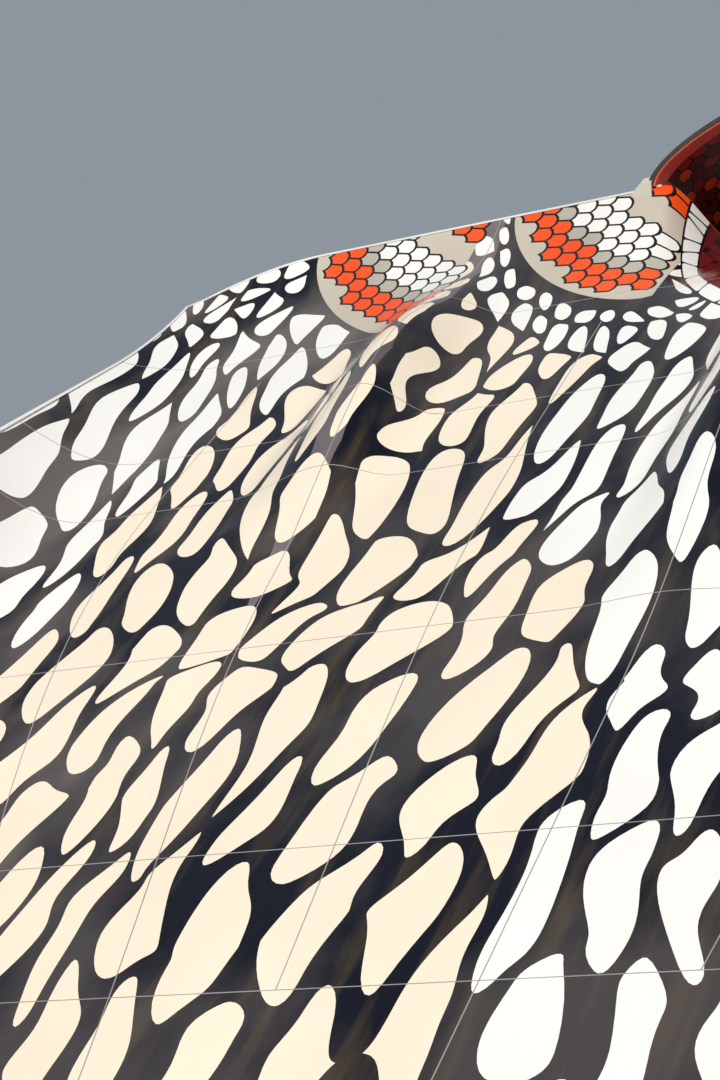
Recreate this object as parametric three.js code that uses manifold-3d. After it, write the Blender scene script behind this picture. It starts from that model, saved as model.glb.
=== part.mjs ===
// An open water slide drop: a wide fluted hood of moulded fibreglass panels that falls from two
// enclosed tubes, which come out under a canopy, to a flat run-out, on a frame of steel ribs and columns.
// Millimetres, +Z up. X runs across the slide, the slope falls towards -Y, and z = 0 is the ground.
// A point of the hood is given by x, by s, the distance along the fall line from the run-out's front
// end, and by n, the height of the skin over the fall line, square to it.

import * as THREE from "three";
import { mergeVertices } from "three/addons/utils/BufferGeometryUtils.js";
import Module from "manifold-3d";

const wasm = await Module();
wasm.setup();

const { lerp, clamp, smoothstep, degToRad } = THREE.MathUtils;

// Fall line: run-out, transition arc and straight slope
const FRONT_Y = -10076;
const RUNOUT_Z = 940;
const RUNOUT_LENGTH = 2770;
const SLOPE_ANGLE = degToRad(43.3);
const TRANSITION_RADIUS = 5000;
const TRANSITION_LENGTH = TRANSITION_RADIUS * SLOPE_ANGLE;
const SLOPE_S = RUNOUT_LENGTH + TRANSITION_LENGTH;
const TOP_S = SLOPE_S + 13040;

// Outline: narrow at the run-out, widest on the upper slope, with its top corners drawn in
const RUNOUT_HALF_WIDTH = 3500;
const HALF_WIDTH = 7300;
const WIDEST_S = SLOPE_S + 7970;
const CORNER = { fromX: 5800, drop: 520, reach: 3000 };

// Seams: rows across the slide by s, strips along it by their share of the half width
const ROW_SEAMS = [0, RUNOUT_LENGTH, SLOPE_S + 907, SLOPE_S + 5084, SLOPE_S + 8931, TOP_S];
const STRIP_SHARE = 0.51;

// Raised side walls and the upturned top edge
const WALL = { width: 1100, topHeight: 20, growth: 0.179, cap: 980, runoutHeight: 880 };
const TOP_EDGE = { height: 281, width: 2300 };

// Ridges between the lobes
const RIDGE = { height: 490, inner: 650, outer: 1000, from: 6300, full: 9800, fade: 12700 };
const CENTRE_RIDGE = { height: 380, half: 760, from: 4000, full: 9000, fadeFrom: 9000, fade: 11300 };
const DIVIDER = { height: 260, half: 460, fade: 2600 };

// Outlet: the middle of the top edge is cut down to a flatter chute
const OUTLET = { floorHalf: 1300, cheekHalf: 1930, half: 2035 };
const DIP = { from: 10700, slope: 0.44, round: 900 };

// Moulded skin with flanges turned back along its edges
const SKIN = 14;
const FLANGE = { depth: 90, thick: 16 };
const SEAM_GAP = 0.6;
const FIT = 0.4;

// Tubes behind the outlet, in a frame that leans back with their slope
const TUBE = { x: 960, radius: 640, wall: 14, section: 1400, slope: degToRad(10), sides: 28 };
const TUBE_FLANGE = { radius: 735, thick: 22 };
const BULKHEAD = { y: 7131, z: 11650, thick: 60, skirt: 90, archSteps: 20 };
const TROUGH = { thick: 60, drop: 700, rise: 620, rows: 3 };
const CANOPY = { thick: 95, rise: 765, backRise: 990, lean: 0.05, overhang: 0.02, columns: 24, rows: 3 };
const ARCH_POWER = 1.65;

// Steelwork
const BEAM = { width: 180, depth: 190 };
const COLUMN = { armRise: 1.1, armRadius: 80, armSides: 10, sides: 16, trim: 500 };
const PLATE = { size: 620, thick: 30 };
const CUT = { height: 4000, reach: 2600, along: 8 };
const BEAMS = [
  { name: "front", s: RUNOUT_LENGTH, columnX: 2000, radius: 110, spread: 0 },
  { name: "lower", s: ROW_SEAMS[2], columnX: 2300, radius: 150, spread: 900 },
  { name: "middle", s: ROW_SEAMS[3], columnX: 3300, radius: 190, spread: 1500 },
  { name: "upper", s: ROW_SEAMS[4], columnX: 3700, radius: 210, spread: 1700 },
];
const RIM_BEAM = { fromX: 2300, toX: 5650, columnX: 3950, radius: 110, spread: 1200 };
const PORTAL_BEAM = { height: 220, width: 200, half: 1550, columnX: 1350, radius: 150 };
const CRADLE = { height: 240, width: 200, half: 1760, top: -600, columnX: 1350, radius: 150 };

const GELCOAT = { white: 0xf3efe6, brown: 0x4a4038, red: 0x7a1512 };
const STEEL_COLOR = 0x9aa1a6;

// Point of the fall line at s
function fallLine(s) {
  if (s < RUNOUT_LENGTH) return { y: FRONT_Y + s, z: RUNOUT_Z, angle: 0 };
  const angle = Math.min((s - RUNOUT_LENGTH) / TRANSITION_RADIUS, SLOPE_ANGLE);
  const beyond = Math.max(0, s - SLOPE_S);
  return {
    y: FRONT_Y + RUNOUT_LENGTH + TRANSITION_RADIUS * Math.sin(angle) + beyond * Math.cos(angle),
    z: RUNOUT_Z + TRANSITION_RADIUS * (1 - Math.cos(angle)) + beyond * Math.sin(angle),
    angle,
  };
}

// Half width of the hood at s
function halfWidth(s) {
  return lerp(RUNOUT_HALF_WIDTH, HALF_WIDTH, smoothstep(s, RUNOUT_LENGTH, WIDEST_S));
}

// The rows near the top bend down at the hood's corners
function rowS(x, row) {
  const out = clamp((Math.abs(x) - CORNER.fromX) / (HALF_WIDTH - CORNER.fromX), 0, 1);
  return row - CORNER.drop * out ** 2 * smoothstep(row, TOP_S - CORNER.reach, TOP_S);
}

const bump = (t) => (Math.abs(t) < 1 ? 0.5 * (1 + Math.cos(Math.PI * t)) : 0);

// Height of the side walls and of the upturned top edge
function bank(x, s) {
  const upSlope = s - SLOPE_S;
  const slopeWall = WALL.topHeight + WALL.growth * (TOP_S - SLOPE_S - CORNER.drop - upSlope);
  const wall = Math.min(
    clamp(slopeWall, 0, WALL.cap),
    lerp(WALL.runoutHeight, WALL.cap, smoothstep(s, RUNOUT_LENGTH, SLOPE_S)),
  );
  const side = clamp(1 - (halfWidth(s) - Math.abs(x)) / WALL.width, 0, 1);
  const top = clamp(1 - (TOP_S - s) / TOP_EDGE.width, 0, 1);
  return wall * side ** 2 + TOP_EDGE.height * top ** 2 * outsideOutlet(x);
}

// 0 over the outlet's floor, 1 beside the outlet
const outsideOutlet = (x) => smoothstep(Math.abs(x), OUTLET.floorHalf, OUTLET.cheekHalf);

// How far the outlet's chute lies below the fall line
function dip(x, s) {
  const along = Math.max(0, s - SLOPE_S - DIP.from);
  const depth = DIP.slope * (along - DIP.round * (1 - Math.exp(-along / DIP.round)));
  return depth * (1 - outsideOutlet(x));
}

// Height of the ridges over the lobes
function ridges(x, s) {
  const up = s - SLOPE_S;
  const fromRidge = Math.abs(x) - STRIP_SHARE * halfWidth(s);
  const reach = fromRidge / (fromRidge < 0 ? RIDGE.inner : RIDGE.outer);
  const strength = smoothstep(up, RIDGE.from, RIDGE.full) * (1 - smoothstep(up, RIDGE.full, RIDGE.fade));
  const centreStrength =
    smoothstep(up, CENTRE_RIDGE.from, CENTRE_RIDGE.full) *
    (1 - smoothstep(up, CENTRE_RIDGE.fadeFrom, CENTRE_RIDGE.fade));
  const divider = DIVIDER.height * (1 - smoothstep(s, RUNOUT_LENGTH, RUNOUT_LENGTH + DIVIDER.fade));
  return (
    RIDGE.height * strength * bump(reach) +
    CENTRE_RIDGE.height * centreStrength * bump(x / CENTRE_RIDGE.half) +
    divider * bump(x / DIVIDER.half)
  );
}

const form = (x, s) => bank(x, s) - dip(x, s);
const skin = (x, s) => form(x, s) + ridges(x, s);

function place(x, s, n) {
  const p = fallLine(s);
  return new THREE.Vector3(x, p.y - n * Math.sin(p.angle), p.z + n * Math.cos(p.angle));
}

// Unit normal of a surface given by its height over the fall line
function normalOf(height, x, s) {
  const d = 4;
  const across = place(x + d, s, height(x + d, s)).sub(place(x - d, s, height(x - d, s)));
  const along = place(x, s + d, height(x, s + d)).sub(place(x, s - d, height(x, s - d)));
  return across.cross(along).normalize();
}

// The same on a row seam, turned into the seam's plane so that both panels meet it flat
function seamNormal(x, s) {
  const { angle } = fallLine(s);
  const uphill = new THREE.Vector3(0, Math.cos(angle), Math.sin(angle));
  return normalOf(skin, x, s).projectOnPlane(uphill).normalize();
}

// Collects quads of points into a closed mesh
class Faces {
  constructor() {
    this.positions = [];
  }
  quad(a, b, c, d) {
    for (const p of [a, b, c, a, c, d]) this.positions.push(p.x, p.y, p.z);
  }
  geometry() {
    const geometry = new THREE.BufferGeometry();
    geometry.setAttribute("position", new THREE.Float32BufferAttribute(this.positions, 3));
    return geometry;
  }
}

// A slab of columns by rows cells between two grids of points; front is seen with i to the right
function slab(columns, rows, front, back) {
  const faces = new Faces();
  for (let j = 0; j < rows; j++) {
    for (let i = 0; i < columns; i++) {
      faces.quad(front(i, j), front(i + 1, j), front(i + 1, j + 1), front(i, j + 1));
      faces.quad(back(i, j), back(i, j + 1), back(i + 1, j + 1), back(i + 1, j));
    }
    faces.quad(front(0, j), front(0, j + 1), back(0, j + 1), back(0, j));
    faces.quad(front(columns, j + 1), front(columns, j), back(columns, j), back(columns, j + 1));
  }
  for (let i = 0; i < columns; i++) {
    faces.quad(front(i + 1, 0), front(i, 0), back(i, 0), back(i + 1, 0));
    faces.quad(front(i, rows), front(i + 1, rows), back(i + 1, rows), back(i, rows));
  }
  return faces.geometry();
}

// A moulded tray: a skin whose outer ring of cells is a flange turned back to the full depth
function tray(columns, rows, point) {
  const faces = new Faces();
  const inRing = (i, j) => i === 0 || j === 0 || i === columns - 1 || j === rows - 1;
  for (let j = 0; j < rows; j++) {
    for (let i = 0; i < columns; i++) {
      const depth = inRing(i, j) ? FLANGE.depth : SKIN;
      faces.quad(point(i, j, 0), point(i + 1, j, 0), point(i + 1, j + 1, 0), point(i, j + 1, 0));
      faces.quad(
        point(i, j, depth),
        point(i, j + 1, depth),
        point(i + 1, j + 1, depth),
        point(i + 1, j, depth),
      );
    }
  }
  const wall = (i0, j0, i1, j1, top, foot) =>
    faces.quad(point(i0, j0, top), point(i1, j1, top), point(i1, j1, foot), point(i0, j0, foot));
  const wallSplitAlike = (i0, j0, i1, j1, top, foot) =>
    faces.quad(point(i1, j1, top), point(i1, j1, foot), point(i0, j0, foot), point(i0, j0, top));
  for (let i = 0; i < columns; i++) {
    wall(i + 1, 0, i, 0, 0, FLANGE.depth);
    wallSplitAlike(i, rows, i + 1, rows, 0, FLANGE.depth);
  }
  for (let j = 0; j < rows; j++) {
    wall(0, j, 0, j + 1, 0, FLANGE.depth);
    wallSplitAlike(columns, j + 1, columns, j, 0, FLANGE.depth);
  }
  for (let i = 1; i < columns - 1; i++) {
    wall(i, 1, i + 1, 1, SKIN, FLANGE.depth);
    wall(i + 1, rows - 1, i, rows - 1, SKIN, FLANGE.depth);
  }
  for (let j = 1; j < rows - 1; j++) {
    wall(1, j + 1, 1, j, SKIN, FLANGE.depth);
    wall(columns - 1, j, columns - 1, j + 1, SKIN, FLANGE.depth);
  }
  return faces.geometry();
}

// Grid lines between the centre line, the strip seam and the rim, as shares of each strip
const INNER_SHARES = [0, 0.1, 0.21, 0.35, 0.42, 0.5, 0.58, 0.83, 0.91, 1];
const OUTER_SHARES = [0, 0.14, 0.28, 0.5, 0.69, 0.79, 0.9, 1];
const ROW_STEPS = [1, 6, 2, 3, 7];

const stripX = (k, s) => [0, STRIP_SHARE, 1][k] * halfWidth(s);

// One panel of the hood, from strip line to strip line and from row seam to row seam
function hoodPanel(side, row, fromLine, toLine) {
  const lines = [];
  for (let k = fromLine; k < toLine; k++) {
    const shares = k === 0 ? INNER_SHARES : OUTER_SHARES;
    lines.push(...shares.slice(k > fromLine ? 1 : 0).map((share) => ({ k, share })));
  }
  const columns = lines.length + 1;
  const steps = ROW_STEPS[row];
  const rows = steps + 2;
  const low = ROW_SEAMS[row];
  const high = ROW_SEAMS[row + 1];
  const rowAt = (j) => {
    if (j <= 1) return low + j * FLANGE.thick;
    if (j >= rows - 1) return high - (rows - j) * FLANGE.thick;
    return lerp(low, high, (j - 1) / steps);
  };
  const xAt = (i, s) => {
    const { k, share } = lines[clamp(i - 1, 0, lines.length - 1)];
    const x = lerp(stripX(k, s), stripX(k + 1, s), share);
    if (i === 1) return x + FLANGE.thick;
    if (i === columns - 1) return x - FLANGE.thick;
    return i === columns ? stripX(toLine, s) : x;
  };
  const shiftX = (i) => (i === 0 ? 1 : i === columns && toLine < 2 ? -1 : 0) * (SEAM_GAP / 2);
  const shiftS = (j) => (j === 0 && row > 0 ? 1 : j === rows && high < TOP_S ? -1 : 0) * (SEAM_GAP / 2);
  const turned = (i) => (side > 0 ? i : columns - i);
  return tray(columns, rows, (i, j, depth) => {
    const s = rowAt(j);
    const x = xAt(turned(i), s);
    const bent = rowS(x, s);
    const shiftedX = side * (x + shiftX(turned(i)));
    const shiftedS = bent + shiftS(j);
    const normal = j === 0 || j === rows ? seamNormal(side * x, bent) : normalOf(skin, side * x, bent);
    return place(shiftedX, shiftedS, skin(shiftedX, shiftedS)).addScaledVector(normal, -depth);
  });
}

// Booleans
function toSolid(geometry) {
  const bare = geometry.clone();
  bare.deleteAttribute("normal");
  bare.deleteAttribute("uv");
  const merged = mergeVertices(bare, 1e-3);
  return new wasm.Manifold(
    new wasm.Mesh({
      numProp: 3,
      vertProperties: new Float32Array(merged.attributes.position.array),
      triVerts: new Uint32Array(merged.index.array),
    }),
  );
}

function toGeometry(solid) {
  const mesh = solid.getMesh();
  const geometry = new THREE.BufferGeometry();
  geometry.setAttribute("position", new THREE.BufferAttribute(mesh.vertProperties, 3));
  geometry.setIndex(new THREE.BufferAttribute(mesh.triVerts, 1));
  return geometry;
}

// A round bar from one point to another
function bar(from, to, radius, sides) {
  const axis = to.clone().sub(from);
  const geometry = new THREE.CylinderGeometry(radius, radius, axis.length(), sides);
  const turn = new THREE.Quaternion().setFromUnitVectors(new THREE.Vector3(0, 1, 0), axis.normalize());
  const middle = from.clone().lerp(to, 0.5);
  return geometry.applyQuaternion(turn).translate(middle.x, middle.y, middle.z);
}

const box = (sx, sy, sz, x, y, z) => new THREE.BoxGeometry(sx, sy, sz).translate(x, y, z);

const root = new THREE.Group();

function add(name, geometry, color, metalness = 0) {
  geometry.computeVertexNormals();
  const material = new THREE.MeshStandardMaterial({ color, roughness: metalness ? 0.45 : 0.2, metalness });
  const mesh = new THREE.Mesh(geometry, material);
  mesh.name = name;
  root.add(mesh);
}

const addSteel = (name, solid) => add(name, toGeometry(solid), STEEL_COLOR, 0.8);

// Hood
const ROW_NAMES = ["runout", "transition", "lower", "middle", "upper"];
const SIDES = [
  { side: -1, sideName: "left" },
  { side: 1, sideName: "right" },
];

for (const { side, sideName } of SIDES) {
  add(`runout_panel_${sideName}`, hoodPanel(side, 0, 0, 2), GELCOAT.white);
  for (let row = 1; row < ROW_NAMES.length; row++) {
    add(`hood_${ROW_NAMES[row]}_inner_${sideName}`, hoodPanel(side, row, 0, 1), GELCOAT.white);
    add(`hood_${ROW_NAMES[row]}_outer_${sideName}`, hoodPanel(side, row, 1, 2), GELCOAT.white);
  }
}

// A point of the leaning bulkhead's front face: v is the height over the tubes' axis
const onBulkhead = (x, v, depth = 0) =>
  new THREE.Vector3(
    x,
    BULKHEAD.y - v * Math.sin(TUBE.slope) + depth * Math.cos(TUBE.slope),
    BULKHEAD.z + v * Math.cos(TUBE.slope) + depth * Math.sin(TUBE.slope),
  );

// Trough from the hood's top edge back to the bulkhead
function troughV(x) {
  const up = clamp((Math.abs(x) - OUTLET.floorHalf) / (OUTLET.half - OUTLET.floorHalf), 0, 1);
  return -TROUGH.drop + TROUGH.rise * up ** 2;
}

function troughPoint(x, t, depth) {
  const s = TOP_S + SEAM_GAP;
  return place(x, s, skin(x, s) - depth).lerp(onBulkhead(x, troughV(x) - depth, -FIT), t);
}

// Half of the trough, with a flat edge outside that the canopy stands on
function trough(side) {
  const shares = [0, 0.3, 0.6, 0.68, 0.76, 0.84, 0.92, 1];
  const xs = shares.map((share) => side * lerp(SEAM_GAP / 2, OUTLET.half, share));
  xs.push(side * (OUTLET.half + CANOPY.thick));
  xs.sort((a, b) => a - b);
  return slab(
    xs.length - 1,
    TROUGH.rows,
    (i, j) => troughPoint(xs[i], j / TROUGH.rows, 0),
    (i, j) => troughPoint(xs[i], j / TROUGH.rows, TROUGH.thick),
  );
}

add("outlet_trough_left", trough(-1), GELCOAT.white);
add("outlet_trough_right", trough(1), GELCOAT.white);

// Superellipse of the canopy and of the bulkhead's top, from the right foot over to the left one
function archPoint(share, half, rise) {
  const power = (v) => Math.sign(v) * Math.abs(v) ** (2 / ARCH_POWER);
  return { across: half * power(Math.cos(Math.PI * share)), up: rise * power(Math.sin(Math.PI * share)) };
}

// Canopy: an arch from one side of the trough to the other, square to the tubes at its back
function canopyPoint(share, t, out) {
  const foot = troughPoint(OUTLET.half, t, 0);
  const rise = lerp(CANOPY.rise, CANOPY.backRise, t) + out;
  const { across, up } = archPoint(1 - share, OUTLET.half + out, rise);
  const lean = lerp(CANOPY.lean, Math.tan(TUBE.slope), t);
  return new THREE.Vector3(across, foot.y - lean * up, foot.z + FIT + up);
}

function canopy() {
  const { columns, rows, overhang, thick } = CANOPY;
  const along = (j) => lerp(-overhang, 1, j / rows);
  return slab(
    columns,
    rows,
    (i, j) => canopyPoint(i / columns, along(j), thick),
    (i, j) => canopyPoint(i / columns, along(j), 0),
  );
}

add("outlet_canopy", canopy(), GELCOAT.brown);

// Bulkhead with the tubes' two holes, in its own leaning frame
function bulkhead() {
  const outline = new THREE.Shape();
  const skirt = BULKHEAD.skirt;
  const half = OUTLET.half + skirt;
  const foot = troughV(OUTLET.half);
  outline.moveTo(-OUTLET.floorHalf - skirt, -TROUGH.drop - skirt);
  outline.lineTo(OUTLET.floorHalf + skirt, -TROUGH.drop - skirt);
  outline.lineTo(half, foot - skirt);
  for (let i = 0; i <= BULKHEAD.archSteps; i++) {
    const { across, up } = archPoint(i / BULKHEAD.archSteps, half, CANOPY.backRise + skirt);
    outline.lineTo(across, foot + up);
  }
  outline.lineTo(-half, foot - skirt);
  outline.closePath();
  for (const side of [-1, 1]) {
    const hole = new THREE.Path();
    hole.absarc(side * TUBE.x, 0, TUBE.radius, 0, 2 * Math.PI, true);
    outline.holes.push(hole);
  }
  const geometry = new THREE.ExtrudeGeometry(outline, {
    depth: BULKHEAD.thick,
    bevelEnabled: false,
    curveSegments: TUBE.sides,
  });
  return leanBack(geometry.rotateX(Math.PI / 2).translate(0, BULKHEAD.thick, 0));
}

// Turns a piece made around the tubes' axis, with +Y along it, to its place
const leanBack = (geometry) => geometry.rotateX(TUBE.slope).translate(0, BULKHEAD.y, BULKHEAD.z);

add("outlet_bulkhead", bulkhead(), GELCOAT.red);

// A tube section with a bolting flange at each end
function tubeSection(side, number) {
  const inner = TUBE.radius;
  const outer = inner + TUBE.wall;
  const { radius, thick } = TUBE_FLANGE;
  const length = TUBE.section;
  const profile = [
    [inner, 0],
    [radius, 0],
    [radius, thick],
    [outer, thick],
    [outer, length - thick],
    [radius, length - thick],
    [radius, length],
    [inner, length],
    [inner, 0],
  ].map(([r, y]) => new THREE.Vector2(r, y));
  const start = BULKHEAD.thick + FIT + (number - 1) * (length + FIT);
  const ring = new THREE.LatheGeometry(profile, TUBE.sides);
  return leanBack(ring.translate(side * TUBE.x, start, 0));
}

for (const { side, sideName } of SIDES) {
  for (const number of [1, 2]) add(`tube_${number}_${sideName}`, tubeSection(side, number), GELCOAT.white);
}

// Steel under the hood: the beams follow the skin's own form, ridges left out, at a depth square to it
const BEAM_TOP = FLANGE.depth + FIT;
const BEAM_BOTTOM = BEAM_TOP + BEAM.depth;

const underForm = (x, s, depth) =>
  place(x, s, form(x, s)).addScaledVector(normalOf(form, x, s), -depth);

function hoodBeam(name, lines, rows) {
  const grid = (depth) => (i, j) => underForm(lines[i](rows[j]), rows[j], depth);
  const beam = slab(lines.length - 1, rows.length - 1, grid(BEAM_TOP), grid(BEAM_BOTTOM));
  add(`beam_${name}`, beam, STEEL_COLOR, 0.8);
}

// What a column is cut with: all above a beam's flat underside, given by a point on each of its edges
function aboveBeam(low, high) {
  const across = [-CUT.reach, CUT.reach];
  const along = [-CUT.along, 1 + CUT.along];
  const down = high.clone().sub(low).cross(new THREE.Vector3(1, 0, 0)).setLength(FIT);
  const point = (i, j) =>
    low.clone().lerp(high, along[j]).add(down).add(new THREE.Vector3(across[i], 0, 0));
  const up = new THREE.Vector3(0, 0, CUT.height);
  return slab(1, 1, (i, j) => point(i, j).add(up), point);
}

// A column on its base plate, with two raking arms where it has room for them
function column({ under, radius, spread = 0, cutter }) {
  const at = (dx, z) => new THREE.Vector3(under.x + dx, under.y, z);
  const { size, thick } = PLATE;
  let solid = toSolid(bar(at(0, thick / 2), at(0, under.z + COLUMN.trim), radius, COLUMN.sides));
  solid = solid.add(toSolid(box(size, size, thick, under.x, under.y, thick / 2)));
  for (const side of spread ? [-1, 1] : []) {
    const foot = at(0, under.z - spread * COLUMN.armRise);
    const head = at(side * spread, under.z);
    const past = head.clone().sub(foot).setLength(COLUMN.trim).add(head);
    solid = solid.add(toSolid(bar(foot, past, COLUMN.armRadius, COLUMN.armSides)));
  }
  return solid.subtract(toSolid(cutter));
}

const outerShares = OUTER_SHARES.slice(1, -1).map((share) => lerp(STRIP_SHARE, 1, share));
const BEAM_SHARES = [0, STRIP_SHARE, ...outerShares];
const BEAM_ROWS = [-BEAM.width / 2, -FLANGE.thick, 0, FLANGE.thick, BEAM.width / 2];

for (const { name, s, columnX, radius, spread } of BEAMS) {
  const shares = [...BEAM_SHARES.slice(1).reverse().map((share) => -share), ...BEAM_SHARES];
  const rows = BEAM_ROWS.map((ds) => s + ds);
  hoodBeam(name, shares.map((share) => (row) => share * halfWidth(row)), rows);
  for (const { side, sideName } of SIDES) {
    const x = side * columnX;
    const under = place(x, s, -BEAM_BOTTOM);
    const cutter = aboveBeam(place(x, rows[0], -BEAM_BOTTOM), under);
    addSteel(`column_${name}_${sideName}`, column({ under, radius, spread, cutter }));
  }
}

// Straight beams under the top edge, beside the outlet
const rimRows = [-FLANGE.thick - BEAM.width, -FLANGE.thick].map((ds) => TOP_S + ds);
for (const { side, sideName } of SIDES) {
  const xs = [RIM_BEAM.fromX, RIM_BEAM.toX].map((x) => side * x).sort((a, b) => a - b);
  hoodBeam(`rim_${sideName}`, xs.map((x) => () => x), rimRows);
  const [low, high] = rimRows.map((s) => underForm(side * RIM_BEAM.columnX, s, BEAM_BOTTOM));
  const { radius, spread } = RIM_BEAM;
  const size = { under: low.clone().lerp(high, 0.5), radius, spread, cutter: aboveBeam(low, high) };
  addSteel(`column_rim_${sideName}`, column(size));
}

// Beams across under the bulkhead and under the tubes, in the tubes' leaning frame
function crossBeam({ half, width, height, top, middleY }) {
  return toSolid(leanBack(box(2 * half, width, height, 0, middleY, top - height / 2)));
}

function addCrossBeam(name, solid, { half, height, top, middleY, columnX, radius }) {
  addSteel(`beam_${name}`, solid);
  const underside = top - height;
  const cutZ = underside - FIT + CUT.height / 2;
  const cutter = leanBack(box(4 * half, 2 * CUT.reach, CUT.height, 0, middleY, cutZ));
  for (const { side, sideName } of SIDES) {
    const under = onBulkhead(side * columnX, underside, middleY);
    addSteel(`column_${name}_${sideName}`, column({ under, radius, cutter }));
  }
}

const portal = { ...PORTAL_BEAM, top: -TROUGH.drop - BULKHEAD.skirt - FIT, middleY: BULKHEAD.thick / 2 };
addCrossBeam("portal", crossBeam(portal), portal);

// The tubes' beam has round seats for the flanges between their sections
function saddleBeam(cradle) {
  let solid = crossBeam(cradle);
  const radius = TUBE_FLANGE.radius + FIT;
  for (const side of [-1, 1]) {
    const seat = new THREE.CylinderGeometry(radius, radius, TUBE.section, TUBE.sides);
    solid = solid.subtract(toSolid(leanBack(seat.translate(side * TUBE.x, cradle.middleY, 0))));
  }
  return solid;
}

const cradle = { ...CRADLE, middleY: BULKHEAD.thick + TUBE.section };
addCrossBeam("tubes", saddleBeam(cradle), cradle);

export default root;
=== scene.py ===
"""Looks of an open water slide drop: patterned gelcoat panels, canopied outlet, tubes and steelwork.

Everything is in metres in the model's own frame: +X across, the slope falls towards -Y, +Z up.
"""

import math
import random

import bpy
import numpy as np
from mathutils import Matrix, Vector
from mathutils.geometry import delaunay_2d_cdt


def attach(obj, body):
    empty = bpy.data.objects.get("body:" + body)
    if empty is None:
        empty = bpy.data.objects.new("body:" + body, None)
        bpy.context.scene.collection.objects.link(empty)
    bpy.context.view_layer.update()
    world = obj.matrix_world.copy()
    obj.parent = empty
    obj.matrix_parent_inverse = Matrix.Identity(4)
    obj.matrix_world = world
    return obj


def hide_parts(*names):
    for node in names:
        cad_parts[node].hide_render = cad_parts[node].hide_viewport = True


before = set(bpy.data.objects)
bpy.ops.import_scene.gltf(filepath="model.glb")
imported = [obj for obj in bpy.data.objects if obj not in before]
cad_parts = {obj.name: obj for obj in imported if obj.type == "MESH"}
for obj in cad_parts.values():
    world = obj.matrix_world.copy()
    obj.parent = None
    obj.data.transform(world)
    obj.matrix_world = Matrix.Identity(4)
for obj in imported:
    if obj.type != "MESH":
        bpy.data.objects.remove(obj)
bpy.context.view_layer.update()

# Fall line of the hood: run-out, transition arc and straight slope
FRONT_Y = -10.076
RUNOUT_Z = 0.94
RUNOUT_LENGTH = 2.77
SLOPE = math.radians(43.3)
TRANSITION_RADIUS = 5.0
SLOPE_S = RUNOUT_LENGTH + TRANSITION_RADIUS * SLOPE
TOP_S = SLOPE_S + 13.04

# Outline of the hood and its panels
RUNOUT_HALF_WIDTH = 3.5
HALF_WIDTH = 7.3
WIDEST_S = SLOPE_S + 7.97
CORNER = dict(from_x=5.8, drop=0.52, reach=3.0)
ROW_NAMES = ["runout", "transition", "lower", "middle", "upper"]
ROW_SEAMS = [0.0, RUNOUT_LENGTH, SLOPE_S + 0.907, SLOPE_S + 5.084, SLOPE_S + 8.931, TOP_S]
STRIP_SHARE = 0.51
LINE_SHARES = (0.0, STRIP_SHARE, 1.0)
PANEL_STEP = 0.14
GRID_STEP = 0.12
GRID_ACROSS = 0.62
GRID_STAGGER = 0.25

# Walls, top edge and outlet; a ridge's span is where it starts, is full and has faded, up the slope
WALL = dict(width=1.1, top=0.02, growth=0.179, cap=0.98, runout=0.88)
TOP_EDGE = dict(height=0.281, width=2.3)
RIDGE = dict(height=0.49, inner=0.65, outer=1.0, span=(6.3, 9.8, 12.7))
CENTRE_RIDGE = dict(height=0.38, half=0.76, span=(4.0, 9.0, 11.3))
DIVIDER = dict(height=0.26, half=0.46, fade=2.6)
OUTLET = dict(floor_half=1.3, cheek_half=1.93, half=2.035)
DIP = dict(start=10.7, slope=0.44, round=0.9)
SKIN = 0.014
FLANGE_DEPTH = 0.09
FLANGE_THICK = 0.016
SEAM_GAP = 0.0006
FIT = 0.0004

# Outlet, tubes and steelwork
TUBE = dict(x=0.96, radius=0.64, wall=0.014, section=1.4, slope=math.radians(10))
TUBE_FLANGE = dict(radius=0.735, thick=0.022)
BULKHEAD = dict(y=7.131, z=11.65, thick=0.06, skirt=0.09)
TROUGH = dict(thick=0.06, drop=0.7, rise=0.62, length=1.75)
CANOPY = dict(thick=0.095, rise=0.765, back_rise=0.99, lean=0.05, overhang=0.02)
ARCH_POWER = 1.65
BEAM = dict(width=0.18, depth=0.19)
BEAM_TOP = FLANGE_DEPTH + FIT
BEAM_BOTTOM = BEAM_TOP + BEAM["depth"]
BEAMS = [
    dict(name="front", s=RUNOUT_LENGTH, column_x=2.0, radius=0.11, spread=0.0),
    dict(name="lower", s=ROW_SEAMS[2], column_x=2.3, radius=0.15, spread=0.9),
    dict(name="middle", s=ROW_SEAMS[3], column_x=3.3, radius=0.19, spread=1.5),
    dict(name="upper", s=ROW_SEAMS[4], column_x=3.7, radius=0.21, spread=1.7),
]
RIM_BEAM = dict(from_x=2.3, to_x=5.65, column_x=3.95, radius=0.11, spread=1.2)
PORTAL_BEAM = dict(height=0.22, width=0.2, half=1.55, column_x=1.35, radius=0.15)
CRADLE = dict(height=0.24, width=0.2, half=1.76, top=-0.6, column_x=1.35, radius=0.15)
SIDES = ((-1, "left"), (1, "right"))
ACROSS = np.array([1.0, 0, 0])
UP = np.array([0, 0, 1.0])


def smoothstep(v, low, high):
    """The classic smooth step, for numbers and arrays."""
    t = np.clip((np.asarray(v, float) - low) / (high - low), 0, 1)
    return t * t * (3 - 2 * t)


def swell(v, start, full, fade):
    """A rise from 0 at start to 1 at full, and a fall back to 0 at fade."""
    return smoothstep(v, start, full) * (1 - smoothstep(v, full, fade))


def bump(t):
    """A cosine bump of height 1 and half width 1."""
    return np.where(np.abs(t) < 1, 0.5 * (1 + np.cos(np.pi * np.clip(t, -1, 1))), 0.0)


def unit(v):
    """Vectors along the last axis, brought to length 1."""
    return v / np.maximum(np.linalg.norm(v, axis=-1, keepdims=True), 1e-12)


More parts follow.
